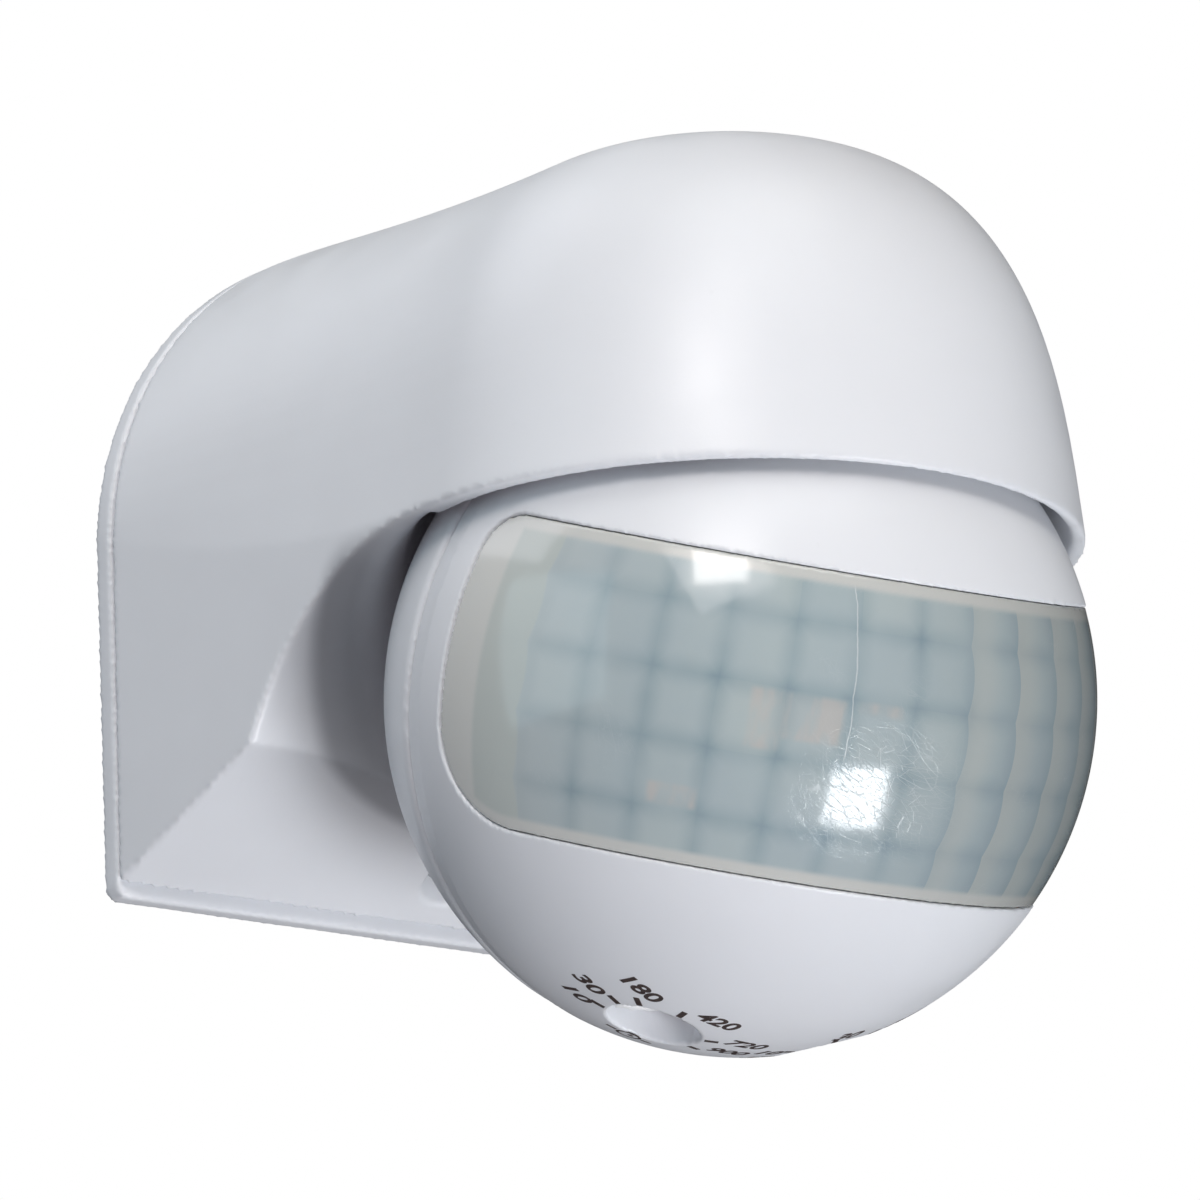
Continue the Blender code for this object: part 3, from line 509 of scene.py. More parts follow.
def blend_colours(tree, factor, first, second):
    """Mix two colours, each a tuple or a socket, by a factor socket."""
    mixer = node(tree, "ShaderNodeMix", data_type="RGBA")
    tree.links.new(factor, mixer.inputs[0])
    for socket, value in ((mixer.inputs[6], first), (mixer.inputs[7], second)):
        if isinstance(value, tuple):
            socket.default_value = (*value, 1.0)
        else:
            tree.links.new(value, socket)
    return mixer.outputs[2]


def bump(tree, height, strength, depth, normal=None):
    made = node(tree, "ShaderNodeBump")
    made.inputs["Strength"].default_value = strength
    made.inputs["Distance"].default_value = depth * MM
    tree.links.new(height, made.inputs["Height"])
    if normal is not None:
        tree.links.new(normal, made.inputs["Normal"])
    return made.outputs["Normal"]


def moulded_plastic(name, colour, roughness=0.42, grain=0.35, grain_depth=0.012, soft=0.0):
    """Moulded plastic: a spark-eroded grain, slow shade changes, finger-worn gloss and faint scuffs."""
    material, tree, shader = new_material(name, colour, roughness)
    if soft:
        set_soft(shader, soft, (1.2, 1.1, 1.0))
    shade = tuple(0.955 * part for part in colour)
    tone = blend_colours(tree, spread(tree, noise(tree, 26.0, 3.0), 0.0, 1.0), shade, colour)
    scuffs = times(tree, smooth_step(tree, noise(tree, 1.6, 5.0, 0.65), 0.66, 0.78), 0.25)
    tone = blend_colours(tree, scuffs, tone, tuple(0.86 * part for part in colour))
    gloss = spread(tree, noise(tree, 7.0, 4.0), roughness - 0.05, roughness + 0.05)
    fine = bump(tree, noise(tree, grain, 2.0, 0.6), 0.55, grain_depth)
    wavy = bump(tree, noise(tree, 9.0, 1.0), 0.3, 0.02, fine)
    feed(tree, shader, tone, gloss, wavy)
    return material


def brushed_metal(name, colour, roughness):
    """Plated metal with fine turning marks and dull spots."""
    material, tree, shader = new_material(name, colour, roughness, metallic=1.0)
    dull = tuple(0.78 * part for part in colour)
    tone = blend_colours(tree, spread(tree, noise(tree, 1.4, 5.0), 0.0, 1.0), dull, colour)
    gloss = spread(tree, noise(tree, 0.8, 4.0), roughness - 0.1, roughness + 0.12)
    marks = bump(tree, noise(tree, 0.2, 3.0, 0.6, (1.0, 1.0, 9.0)), 0.35, 0.01)
    feed(tree, shader, tone, gloss, marks)
    return material


def rubber(name, colour=(0.045, 0.046, 0.05)):
    material, tree, shader = new_material(name, colour, 0.7)
    dust_and_shade = tuple(part + 0.05 for part in colour)
    tone = blend_colours(tree, spread(tree, noise(tree, 2.2, 5.0), 0.0, 0.5, 0.45, 0.75), colour, dust_and_shade)
    gloss = spread(tree, noise(tree, 1.2, 3.0), 0.6, 0.85)
    feed(tree, shader, tone, gloss, bump(tree, noise(tree, 0.25, 3.0), 0.5, 0.03))
    return material


def board_resin(name):
    """A green board: weave under the resin, with darker copper tracks showing through."""
    material, tree, shader = new_material(name, (0.02, 0.18, 0.07), 0.35, coat_weight=0.4)
    bricks = node(tree, "ShaderNodeTexBrick", offset=0.5)
    bricks.inputs["Scale"].default_value = 1.0
    bricks.inputs["Brick Width"].default_value = 7.0 * MM
    bricks.inputs["Row Height"].default_value = 1.6 * MM
    bricks.inputs["Mortar Size"].default_value = 0.3 * MM
    bricks.inputs["Color1"].default_value = (0.02, 0.2, 0.075, 1.0)
    bricks.inputs["Color2"].default_value = (0.022, 0.17, 0.065, 1.0)
    bricks.inputs["Mortar"].default_value = (0.012, 0.1, 0.045, 1.0)
    tree.links.new(place_of(tree), bricks.inputs["Vector"])
    gloss = spread(tree, noise(tree, 1.0, 3.0), 0.3, 0.45)
    feed(tree, shader, bricks.outputs["Color"], gloss, bump(tree, bricks.outputs["Fac"], 0.4, 0.03))
    return material


def case_plastic(name):
    return moulded_plastic(name, (0.80, 0.815, 0.85), 0.4, soft=0.1)


def hood_plastic(name):
    """The case plastic, with painted shade greying the hollow beside the ball, below the rim."""
    material = case_plastic(name)
    tree = material.node_tree
    shader = tree.nodes["Principled BSDF"]
    tone = shader.inputs["Base Color"].links[0].from_socket
    away = node(tree, "ShaderNodeVectorMath", operation="DISTANCE")
    tree.links.new(place_of(tree), away.inputs[0])
    away.inputs[1].default_value = BALL_CENTRE * MM
    dust_and_shade = smooth_step(tree, away.outputs["Value"], HOLLOW_SHADE_FADES[0] * MM, HOLLOW_SHADE_FADES[1] * MM)
    shade_clear = smooth_step(tree, away.outputs["Value"], SHADE_CLEAR_FADES[0] * MM, SHADE_CLEAR_FADES[1] * MM)
    near = minus(tree, dust_and_shade, times(tree, shade_clear, 0.85))
    height = node(tree, "ShaderNodeSeparateXYZ")
    tree.links.new(place_of(tree), height.inputs["Vector"])
    below = smooth_step(tree, height.outputs["Z"], (RIM_Z + 1.0) * MM, (RIM_Z - 3.0) * MM)
    # Painted shade: below the rim, a band round the ball is blended toward grey, fading out right next to the
    # ball.
    hollow = times(tree, times(tree, near, below), 0.9)
    tree.links.new(blend_colours(tree, hollow, tone, (0.42, 0.43, 0.46)), shader.inputs["Base Color"])
    return material


def head_plastic(name):
    return moulded_plastic(name, (0.81, 0.825, 0.86), 0.36, grain=0.3, grain_depth=0.008, soft=0.1)


def knob_plastic(name):
    return moulded_plastic(name, (0.82, 0.82, 0.83), 0.45, grain=0.2, soft=0.1)


def inner_plastic(name):
    return moulded_plastic(name, (0.72, 0.73, 0.72), 0.5)


def black_plastic(name):
    return moulded_plastic(name, (0.03, 0.03, 0.034), 0.42, grain=0.2)


def print_ink(name):
    """Dark brown pad-printed ink, a little uneven in cover."""
    material, tree, shader = new_material(name, (0.035, 0.022, 0.02), 0.5)
    cover = spread(tree, noise(tree, 0.35, 3.0), 0.0, 1.0)
    tone = blend_colours(tree, cover, (0.028, 0.018, 0.018), (0.075, 0.05, 0.045))
    gloss = spread(tree, noise(tree, 0.5, 2.0), 0.4, 0.6)
    feed(tree, shader, tone, gloss, bump(tree, noise(tree, 0.15, 2.0), 0.4, 0.01))
    return material


def lens_plastic(name):
    """Milky film: cells laid out by the mesh's own cell coordinates, a plain border, glints and scratches."""
    material, tree, shader = new_material(name, (0.42, 0.48, 0.5), 0.12)
    set_soft(shader, 0.3, (1.6, 1.8, 2.0))
    shader.inputs["IOR"].default_value = 1.6
    grid = node(tree, "ShaderNodeAttribute", attribute_name="cells")
    axes = node(tree, "ShaderNodeSeparateXYZ")
    tree.links.new(grid.outputs["Vector"], axes.inputs["Vector"])
    column = axes.outputs["X"]
    row = axes.outputs["Y"]
    base = cell_tones(tree, column, row)
    base = cell_lines(tree, column, row, base)
    base = stepped_sides(tree, column, row, base)
    base = warm_glints(tree, column, row, base)
    base = blend_colours(tree, axes.outputs["Z"], base, (0.6, 0.608, 0.585))
    # Painted light and shade: the lens is blended lighter toward its left side and darker toward its right
    # side.
    left = times(tree, smooth_step(tree, column, -3.5, -7.5), 0.3)
    right = times(tree, smooth_step(tree, column, -2.5, 5.0), 0.38)
    base = blend_colours(tree, left, base, (0.85, 0.85, 0.83))
    base = blend_colours(tree, right, base, (0.12, 0.13, 0.13))
    scratch = long_scratch(tree, column, row)
    hairs = scratch_mask(tree, column, row)
    worn = greater(tree, times(tree, scratch, 0.5), times(tree, hairs, 0.3))
    base = blend_colours(tree, worn, base, (0.72, 0.74, 0.74))
    marks = greater(tree, scratch, hairs)
    clean = spread(tree, noise(tree, 3.0, 4.0), 0.08, 0.14)
    gloss = calculate(tree, "ADD", clean, times(tree, marks, 0.3))
    fine = bump(tree, noise(tree, 0.5, 4.0, 0.6), 0.3, 0.004)
    wavy = bump(tree, noise(tree, 5.0, 2.0), 0.3, 0.02, fine)
    scored = bump(tree, marks, 0.6, -0.02, wavy)
    feed(tree, shader, base, gloss, scored)
    return material


def cell_share(tree, turn):
    """How far across its own cell a point is, from 0 to 1."""
    return calculate(tree, "FRACT", turn)


def cell_tones(tree, column, row):
    """Every cell a slightly different milky tone."""
    cell = node(tree, "ShaderNodeCombineXYZ")
    tree.links.new(calculate(tree, "FLOOR", column), cell.inputs["X"])
    tree.links.new(calculate(tree, "FLOOR", row), cell.inputs["Y"])
    chance = node(tree, "ShaderNodeTexWhiteNoise", noise_dimensions="2D")
    tree.links.new(cell.outputs["Vector"], chance.inputs["Vector"])
    base = blend_colours(tree, chance.outputs["Value"], (0.415, 0.488, 0.505), (0.465, 0.53, 0.53))
    return blend_colours(tree, spread(tree, noise(tree, 11.0, 2.0), 0.0, 0.6), base, (0.4, 0.47, 0.505))


def cell_lines(tree, column, row, base):
    """Blurred blue-grey lines of painted shade in the creases between the cells, darker where they cross and
    fainter in the first column.
    """
    lines = []
    for turn in (column, row):
        away = calculate(tree, "ABSOLUTE", minus(tree, cell_share(tree, turn), 0.5))
        lines.append(smooth_step(tree, away, 0.2, 0.56))
    crossing = times(tree, lines[0], lines[1])
    either = greater(tree, lines[0], lines[1])
    # Painted shade along the creases between the cells, strongest where two creases cross.
    ink = calculate(tree, "ADD", times(tree, either, 0.5), times(tree, crossing, 0.55))
    patchy = times(tree, ink, spread(tree, noise(tree, 7.0, 2.0), 0.4, 1.0))
    left = smooth_step(tree, column, PLAIN_COLUMN - 0.1, PLAIN_COLUMN + 0.3)
    patchy = times(tree, patchy, spread(tree, left, 0.25, 1.0, 0.0, 1.0))
    return blend_colours(tree, patchy, base, (0.21, 0.3, 0.345))


def stepped_sides(tree, column, row, base):
    """Crisp stepped columns, painted light in cream on each cell's left and painted shade in blue on its
    right, and a plain first column.
    """
    up = minus(tree, cell_share(tree, row), 0.5)
    bow = times(tree, times(tree, up, up), 0.3)
    share = cell_share(tree, calculate(tree, "ADD", column, bow))
    side = smooth_step(tree, column, STEPPED_COLUMN, STEPPED_COLUMN + 1.3)
    # Painted light in cream on the left of each step and painted shade in blue on its right, across the right
    # side of the lens.
    pale = times(tree, side, smooth_step(tree, share, 0.75, 0.0))
    dark = times(tree, side, smooth_step(tree, share, 0.35, 1.0))
    base = blend_colours(tree, times(tree, pale, 0.75), base, (0.5, 0.525, 0.505))
    base = blend_colours(tree, times(tree, dark, 0.5), base, (0.32, 0.4, 0.44))
    first = smooth_step(tree, calculate(tree, "ADD", column, bow), PLAIN_COLUMN + 0.02, PLAIN_COLUMN - 0.04)
    return blend_colours(tree, times(tree, first, 0.75), base, (0.46, 0.51, 0.48))


def within(tree, value, low, high, soft):
    """1 between low and high, with soft edges."""
    rising = smooth_step(tree, value, low - soft, low + soft)
    falling = smooth_step(tree, value, high + soft, high - soft)
    return times(tree, rising, falling)


def warm_glints(tree, column, row, base):
    """Salmon glints that the cells gather from the brass and solder inside, in a few cells only."""
    glints = (
        (-2.5, -2.0, 0.1, 0.95),
        (-3.8, -3.05, -0.93, -0.62),
        (-2.0, -1.1, 0.3, 0.95),
        (-0.9, -0.2, 0.82, 0.98),
    )
    streaks = spread(tree, noise(tree, 3.0, 2.0, 0.5, (2.2, 1.0, 0.6)), 0.2, 1.0, 0.4, 0.62)
    for left, right, low, high in glints:
        patch = times(tree, within(tree, column, left, right, 0.06), within(tree, row, low, high, 0.05))
        glow = times(tree, patch, times(tree, streaks, 0.6))
        base = blend_colours(tree, glow, base, (0.55, 0.505, 0.47))
    return base


def long_scratch(tree, column, row):
    """One long thin scratch that wanders down the middle of the lens."""
    bend = times(tree, calculate(tree, "POWER", greater(tree, row, 0.0), 3.0), -0.009)
    sway = times(tree, minus(tree, noise(tree, 3.0, 3.0), 0.5), 0.1)
    middle = calculate(tree, "ADD", calculate(tree, "ADD", bend, sway), -0.99)
    away = calculate(tree, "ABSOLUTE", minus(tree, column, middle))
    hair = smooth_step(tree, away, 0.016, 0.003)
    return times(tree, hair, within(tree, row, 0.15, 2.6, 0.1))


def scratch_mask(tree, column, row):
    """Thin crossing hairlines, gathered where the lens has been rubbed."""
    masks = []
    for turn, size in ((0.4, 2.6), (1.3, 3.4), (2.2, 2.9), (2.9, 3.8)):
        mapping = node(tree, "ShaderNodeMapping")
        mapping.inputs["Rotation"].default_value = (turn, 0.5 * turn, turn)
        mapping.inputs["Scale"].default_value = (1.0, 6.0, 1.0)
        tree.links.new(place_of(tree), mapping.inputs["Vector"])
        cracks = node(tree, "ShaderNodeTexVoronoi", feature="DISTANCE_TO_EDGE")
        cracks.inputs["Scale"].default_value = 1.0 / (size * MM)
        tree.links.new(mapping.outputs["Vector"], cracks.inputs["Vector"])
        masks.append(smooth_step(tree, cracks.outputs["Distance"], 0.014, 0.002))
    hairs = masks[0]
    for mask in masks[1:]:
        hairs = greater(tree, hairs, mask)
    rubbed = times(tree, within(tree, column, -1.3, 0.6, 0.8), within(tree, row, -0.9, 0.5, 0.7))
    elsewhere = times(tree, smooth_step(tree, noise(tree, 8.0, 3.0), 0.58, 0.75), 0.5)
    return times(tree, hairs, greater(tree, rubbed, elsewhere))


# ---------------------------------------------------------------- wall plate and hood


def arch_outline(inset, foot, corner=1.3):
    """The plate's outline drawn in by inset on its arch, with its foot at a given height."""
    foot_half = PLATE_FOOT_HALF - inset
    points = arc((foot_half - corner, foot + corner), corner, -90, 0, 6)
    points += [(x, z * ARCH_RISE) for x, z in arc((0, 0), PLATE_R - inset, 0, 180, 120)]
    points += arc((-foot_half + corner, foot + corner), corner, 180, 270, 6)
    return points


def slot_outline(x, grow=0.0):
    half = SLOT_L / 2 - SLOT_W / 2
    radius = SLOT_W / 2 + grow
    return arc((x, half), radius, 0, 180, 24) + arc((x, -half), radius, 180, 360, 24)


def plate_recess():
    """The shallow pocket in the plate's back, which leaves a rim, ribs, and pads round its holes."""
    recess = slab("plate_recess", [arch_outline(2.6, PLATE_FOOT + 2.6)], -1.0, 0.9, FRONTWARD)
    pads = [
        slab("pad_left", [slot_outline(-SLOT_X, 2.2)], -2.0, 2.0, FRONTWARD),
        slab("pad_right", [slot_outline(SLOT_X, 2.2)], -2.0, 2.0, FRONTWARD),
        rod("pad_cable", CABLE_HOLE_R + 2.0, (0, -2, CABLE_Z), (0, 2, CABLE_Z)),
        box("rib_middle", (-40, -2, -1.2), (40, 2, 1.2)),
        box("rib_upright", (-1.2, -2, -40), (1.2, 2, 40)),
    ]
    return cut(recess, *pads)


def make_wall_plate():
    holes = [slot_outline(-SLOT_X), slot_outline(SLOT_X)]
    holes.append(arc((0, CABLE_Z), CABLE_HOLE_R, 0, 355, 71))
    plate = slab("plate_shape", [arch_outline(0, PLATE_FOOT)] + holes, 0, PLATE_T, FRONTWARD)
    lip_outlines = [arch_outline(4.2, PLATE_FOOT + 6.6), arch_outline(5.7, PLATE_FOOT + 8.1)]
    lip = slab("plate_lip", lip_outlines, PLATE_T - 0.4, PLATE_T + 2.5, FRONTWARD)
    lug = box("screw_lug", (-5.0, SCREW_Y - 4.0, -27.2), (5.0, -PLATE_T + 0.4, -23.2))
    join(plate, lip, lug)
    lug_hole = rod("lug_hole", SCREW_HOLE_R, (0, SCREW_Y, -40), (0, SCREW_Y, -10))
    cut(plate, lug_hole, plate_recess())
    soften(plate, 0.36, 4)
    return plate


def hood_section(blend, inset, steps):
    """Half of the hood's section, foot to crown: the dome's at blend 0, the wall arch's at blend 1."""
    ease = blend**TUNNEL_EASE
    half = DOME_R + (PLATE_R - DOME_R) * ease - inset
    spring = RIM_Z * (1 - ease)
    crown = DOME_TOP + (PLATE_R * ARCH_RISE - DOME_TOP) * ease - inset
    power = 2 / (DOME_SQUARE + (2.0 - DOME_SQUARE) * ease)
    foot_half = half - (PLATE_R - PLATE_FOOT_HALF) * ease
    foot = PLATE_FOOT - 8.0
    points = []
    for step in range(3):
        share = step / 3
        points.append((foot_half + (half - foot_half) * share, foot + (spring - foot) * share))
    for step in range(steps + 1):
        angle = math.radians(90 * (1 - (1 - step / steps) ** 1.5))
        x = half * max(math.cos(angle), 0.0) ** power
        rise = math.sin(angle) ** power
        lean = DOME_LEAN * (1 - ease) * rise * x / half
        points.append((x - lean, spring + (crown - spring) * rise))
    points[-1] = (0.0, crown)
    return points


def hood_body(name, inset, back_y, front_steps=96, rear_steps=22, steps=40):
    """The hood's whole outside, or its hollow when drawn in by inset, from the wall round the dome."""
    rails = []
    for side in (1, -1):
        rear = []
        if back_y > HOOD_BACK_Y:
            rear.append([(side * x, back_y, z) for x, z in hood_section(1.0, inset, steps)])
        for step in range(rear_steps):
            blend = 1 - step / rear_steps
            y = DOME_Y + (HOOD_BACK_Y - DOME_Y) * blend
            rear.append([(side * x, y, z) for x, z in hood_section(blend, inset, steps)])
        rails.append(rear)
    dome = []
    for step in range(front_steps + 1):
        angle = math.radians(180 * step / front_steps)
        ring = []
        for x, z in hood_section(0.0, inset, steps):
            ring.append((x * math.cos(angle), DOME_Y - x * math.sin(angle), z))
        dome.append(ring)
    stations = rails[0] + dome + rails[1][::-1]
    return loft(name, stations, cap_foot=True)


def underside_z(y):
    """Height of the sloping underside from the scoop's corner to the wall, about the ball's centre."""
    corner_y, corner_z = arc(SCOOP_CENTRE, SCOOP_R, SCOOP_START, SCOOP_START, 1)[0]
    slope = (PLATE_FOOT - BALL_CENTRE.z - corner_z) / (-BALL_CENTRE.y - corner_y)
    return corner_z + slope * (y - corner_y)


def scoop_station(x, grow):
    """One side outline of the scooped space under the hood, at x, drawn out by grow."""
    ball_y = math.sqrt(max(SCOOP_BALL_R**2 - x**2, 0.0))
    outline = []
    for y, z in arc(SCOOP_CENTRE, SCOOP_R, SCOOP_START, 90, 48):
        reach = math.hypot(y, z)
        blended = (reach**SCOOP_BLEND + ball_y**SCOOP_BLEND) ** (1 / SCOOP_BLEND) + grow
        outline.append((y * blended / reach, z * blended / reach))
    corner_y = outline[0][0]
    outline[0] = (corner_y, underside_z(corner_y) + 1.1 * grow)
    rim = RIM_Z - BALL_CENTRE.z + grow
    behind_wall = -BALL_CENTRE.y + 5.0
    outline.append((outline[-1][0] - 0.5, rim))
    outline.append((-60.0, rim))
    outline.append((-60.0, -60.0))
    outline.append((behind_wall, -60.0))
    outline.append((behind_wall, underside_z(behind_wall) + 1.1 * grow))
    return [(x, y + BALL_CENTRE.y, z + BALL_CENTRE.z) for y, z in outline]


def scoop(name, grow):
    return loft(name, [scoop_station(x * 1.25, grow) for x in range(-36, 37)])


def make_hood():
    centre = BALL_CENTRE
    hood = hood_body("hood_shape", 0.0, HOOD_BACK_Y)
    chamber = hood_body("chamber", HOOD_WALL, 3.0, 48, 10, 24)
    cut(chamber, scoop("chamber_floor", HOOD_WALL), ball("chamber_socket", SOCKET_R + HOOD_WALL, centre))
    cut(hood, chamber)
    boss = rod("stem_boss", BOSS_R, (0, centre.y, 13), (0, centre.y, centre.z + BOSS_TOP))
    screw_boss = rod("screw_boss", SCREW_BOSS_R, (0, SCREW_Y, -34.5), (0, SCREW_Y, -27.5))
    cut(screw_boss, box("back_trim", (-8, SCREW_BOSS_BACK, -40), (8, 3, -20)))
    join(hood, boss, screw_boss)
    pocket = rod("screw_pocket", SCREW_POCKET_R, (0, SCREW_Y, -45), (0, SCREW_Y, SCREW_SEAT_Z))
    pocket_mouth = box("pocket_mouth", (-SCREW_POCKET_R, -18, -45), (SCREW_POCKET_R, SCREW_Y, SCREW_SEAT_Z))
    clearance = rod("screw_clearance", SCREW_HOLE_R, (0, SCREW_Y, -32), (0, SCREW_Y, -20))
    stem_hole = rod("stem_hole", STEM_R + GAP, (0, centre.y, 5), (0, centre.y, 25))
    cut(hood, scoop("underside", 0.0), ball("socket", SOCKET_R, centre))
    cut(hood, stem_hole, pocket, pocket_mouth, clearance)
    soften(hood, 0.4, 5, 0.35)
    return hood


# ---------------------------------------------------------------- head shells and lens


def window_outline(grow):
    """The lens window seen from the side: local X is the head's Y, local Y is its Z."""
    back = WINDOW_BACK + grow
    top = WINDOW_HALF + grow
    upper = WINDOW_TOP_CORNER + grow
    lower = WINDOW_LOW_CORNER + grow
    points = [(-45.0, -top)]
    points += arc((back - lower, -top + lower), lower, -90, 0, 30)
    points += arc((back - upper, top - upper), upper, 0, 90, 20)
    points.append((-45.0, top))
    return points


def window_prism(name, grow):
    return slab(name, [window_outline(grow)], -45, 45, SIDE)


def layer(name, outer, inner, back):
    """Part of a hollow ball in front of the plane y = back."""
    outer_angle = math.degrees(math.asin(-back / outer))
    inner_angle = math.degrees(math.asin(-back / inner))
    points = arc((0, 0), outer, 90, outer_angle, 60) + arc((0, 0), inner, inner_angle, 90, 60)
    points[0] = (0.0, outer)
    points[-1] = (0.0, inner)
    return turned(name, points, 160, place=FRONTWARD)


def slot_cutter(name):
    """The stem's way through the top of the ball, as wide as its collar and as long as the tilt."""
    points = []
    for radius, angle in ((20, SLOT_FROM), (50, SLOT_FROM), (50, SLOT_TO), (20, SLOT_TO)):
        turn = math.radians(angle)
        points.append((radius * math.sin(turn), radius * math.cos(turn)))
    return slab(name, [points[::-1]], -SLOT_HALF, SLOT_HALF, SIDE)


def make_front_shell():
    crease = math.sqrt(BALL_R**2 - CREASE_Y**2)
    outer_angle = math.degrees(math.asin(-CREASE_Y / BALL_R))
    flange_angle = math.degrees(math.asin(-CREASE_Y / SHELL_IN_R))
    profile = arc((0, 0), BALL_R, 90, outer_angle, 64)
    profile[0] = (0.0, BALL_R)
    profile[-1] = (crease, -CREASE_Y)
    profile += [(34.4, -SEAM_Y), (31.0, -SEAM_Y), (31.0, -3.2)]
    profile += arc((0, 0), SHELL_IN_R, flange_angle, 90, 40)
    profile[-1] = (0.0, SHELL_IN_R)
    shell = turned("front_shape", profile, 192, place=FRONTWARD)
    rabbet = layer("rabbet", LENS_STEP_R + GAP, 30.0, 3.0)
    keep_inside(rabbet, window_prism("rabbet_window", 1.6))
    cut(shell, window_prism("window_cut", 0.0), rabbet, slot_cutter("front_slot"))
    groove = [(33.7, 0.9 - SEAM_Y), (33.7, -1 - SEAM_Y), (32.3, -1 - SEAM_Y), (32.3, 0.9 - SEAM_Y)]
    cut(shell, turned("seal_groove", groove, 96, closed=True, place=FRONTWARD))
    for x in (-DIAL_X, DIAL_X):
        collar = rod("collar", COLLAR_R, (x, 0, COLLAR_BACK), (x, 0, -40), place=BOARD)
        keep_inside(collar, ball("collar_trim", BALL_R - SHELL / 2))
        join(shell, collar)
        cut(shell, rod("dial_hole", DIAL_HOLE_R, (x, 0, -26), (x, 0, -40), 96, BOARD))
    soften(shell, 0.27, 4, 0.6)
    true_up(shell, BALL_R)
    shell.data.transform(HEAD)
    return shell


def make_rear_shell():
    back = SEAM_Y + GAP
    outer_angle = math.degrees(math.asin((back + 1.0) / BALL_R))
    inner_angle = math.degrees(math.asin((back + 2.4) / SHELL_IN_R))
    profile = arc((0, 0), BALL_R, 90, outer_angle, 56)
    profile[0] = (0.0, BALL_R)
    profile += [(34.3, back), (31.0, back), (31.0, back + 2.4)]
    profile += arc((0, 0), SHELL_IN_R, inner_angle, 90, 40)
    profile[-1] = (0.0, SHELL_IN_R)
    shell = turned("rear_shape", profile, 192, place=BACKWARD)
    for x, z in SHELL_SCREWS:
        boss = rod("rear_boss", SHELL_BOSS_R, (x, back, z), (x, 30, z))
        keep_inside(boss, ball("boss_trim", BALL_R - SHELL / 2))
        join(shell, boss)
    for low in (-RIB_X - RIB_T, RIB_X):
        outline = arc((0, 0), RIB_R, 90, 270, 20) + [(32, -RIB_R), (32, RIB_R)]
        rib = slab("rib", [outline], low, low + RIB_T, SIDE)
        hole = rod("rib_hole", PIN_R + GAP, (low - 1, 0, 0), (low + RIB_T + 1, 0, 0))
        join(shell, cut(rib, hole))
    cut(shell, slot_cutter("rear_slot"))
    for x, z in SHELL_SCREWS:
        head_room = rod("head_room", 2.7, (x, 9.5, z), (x, 36, z))
        clearance = rod("rear_clearance", 1.5, (x, 4, z), (x, 12, z))
        cut(shell, head_room, clearance)
    soften(shell, 0.36, 3, 0.5)
    true_up(shell, BALL_R)
    shell.data.transform(HEAD)
    return shell


def make_lens():
    """The lens skin, its stepped flange, and the shallow dish of every cell on its inside."""
    lens = layer("lens_shape", LENS_R, LENS_IN_R, 2.0)
    keep_inside(lens, window_prism("lens_flange", 1.3))
    step = layer("lens_step", BALL_R + 1, LENS_STEP_R, 4.0)
    cut(step, window_prism("lens_face", -LENS_GAP))
    cut(lens, step)
    soften(lens, 0.26, 2)
    true_up(lens, LENS_R)
    mark_cells(lens)
    lens.data.transform(HEAD)
    return lens


def mark_cells(lens):
    """Store each point's column, row and share of plain border, and press the cells into the inside."""
    mesh = lens.data
    cells = mesh.attributes.new("cells", "FLOAT_VECTOR", "POINT")
    values = []
    for vertex in mesh.vertices:
        x, y, z = vertex.co / MM
        reach = vertex.co.length / MM
        turn = math.degrees(math.atan2(x, -y)) / CELL_TURN + 0.5
        rise = math.degrees(math.asin(z / reach)) / CELL_RISE + 0.5
        border = max(plain_border(y, z), min(1.0, max(0.0, (FIRST_COLUMN - turn) * 12.0)))
        values += [turn, rise, border]
        if reach < (LENS_R + LENS_IN_R) / 2 and border < 0.5:
            across = turn - math.floor(turn) - 0.5
            up = rise - math.floor(rise) - 0.5
            dish = 0.35 * (1 - 2 * (across * across + up * up))
            vertex.co *= 1 + dish / reach
    cells.data.foreach_set("vector", values)


def plain_border(y, z):
    """1 on the lens's plain edge strip, falling to 0 where the cells begin."""
    top = WINDOW_HALF - abs(z)
    back = WINDOW_BACK - y
    corner = WINDOW_TOP_CORNER if z > 0 else WINDOW_LOW_CORNER
    edge = min(top, back)
    if top < corner and back < corner:
        edge = corner - math.hypot(corner - top, corner - back)
    return min(1.0, max(0.0, (1.5 - edge) / 0.5))


def make_knob():
    """A fluted dial with a dished face and a screwdriver slot, about its own axis."""
    outline = []
    for i in range(FLUTES * 16):
        angle = 2 * math.pi * i / (FLUTES * 16)
        radius = KNOB_R - FLUTE_DEPTH * (1 - math.cos(FLUTES * angle))
        outline.append((radius * math.cos(angle), radius * math.sin(angle)))
    knob = slab("knob_shape", [outline], KNOB_FACE, KNOB_BACK - 0.2)
    skirt = rod("knob_skirt", SKIRT_R, (0, 0, SKIRT_FACE), (0, 0, KNOB_BACK))
    shaft = rod("knob_shaft", 1.45, (0, 0, KNOB_BACK - 1), (0, 0, POTENTIOMETER_Z))
    join(knob, skirt, shaft)
    dish = [(0, KNOB_FACE + 0.7), (2.6, KNOB_FACE + 0.7), (3.3, KNOB_FACE - 0.5), (0, KNOB_FACE - 0.5)]
    slot = box("knob_slot", (-3.0, -0.5, KNOB_FACE - 1), (3.0, 0.5, KNOB_FACE + 1.8))
    cut(knob, turned("knob_dish", dish, 64), slot)
    soften(knob, 0.12, 3)
    return knob


def place_knob(name, x):
    knob = make_knob()
    knob.name = name
    knob.data.transform(HEAD @ BOARD @ Matrix.Translation((x * MM, 0, 0)))
    return knob


# ---------------------------------------------------------------- print under the head


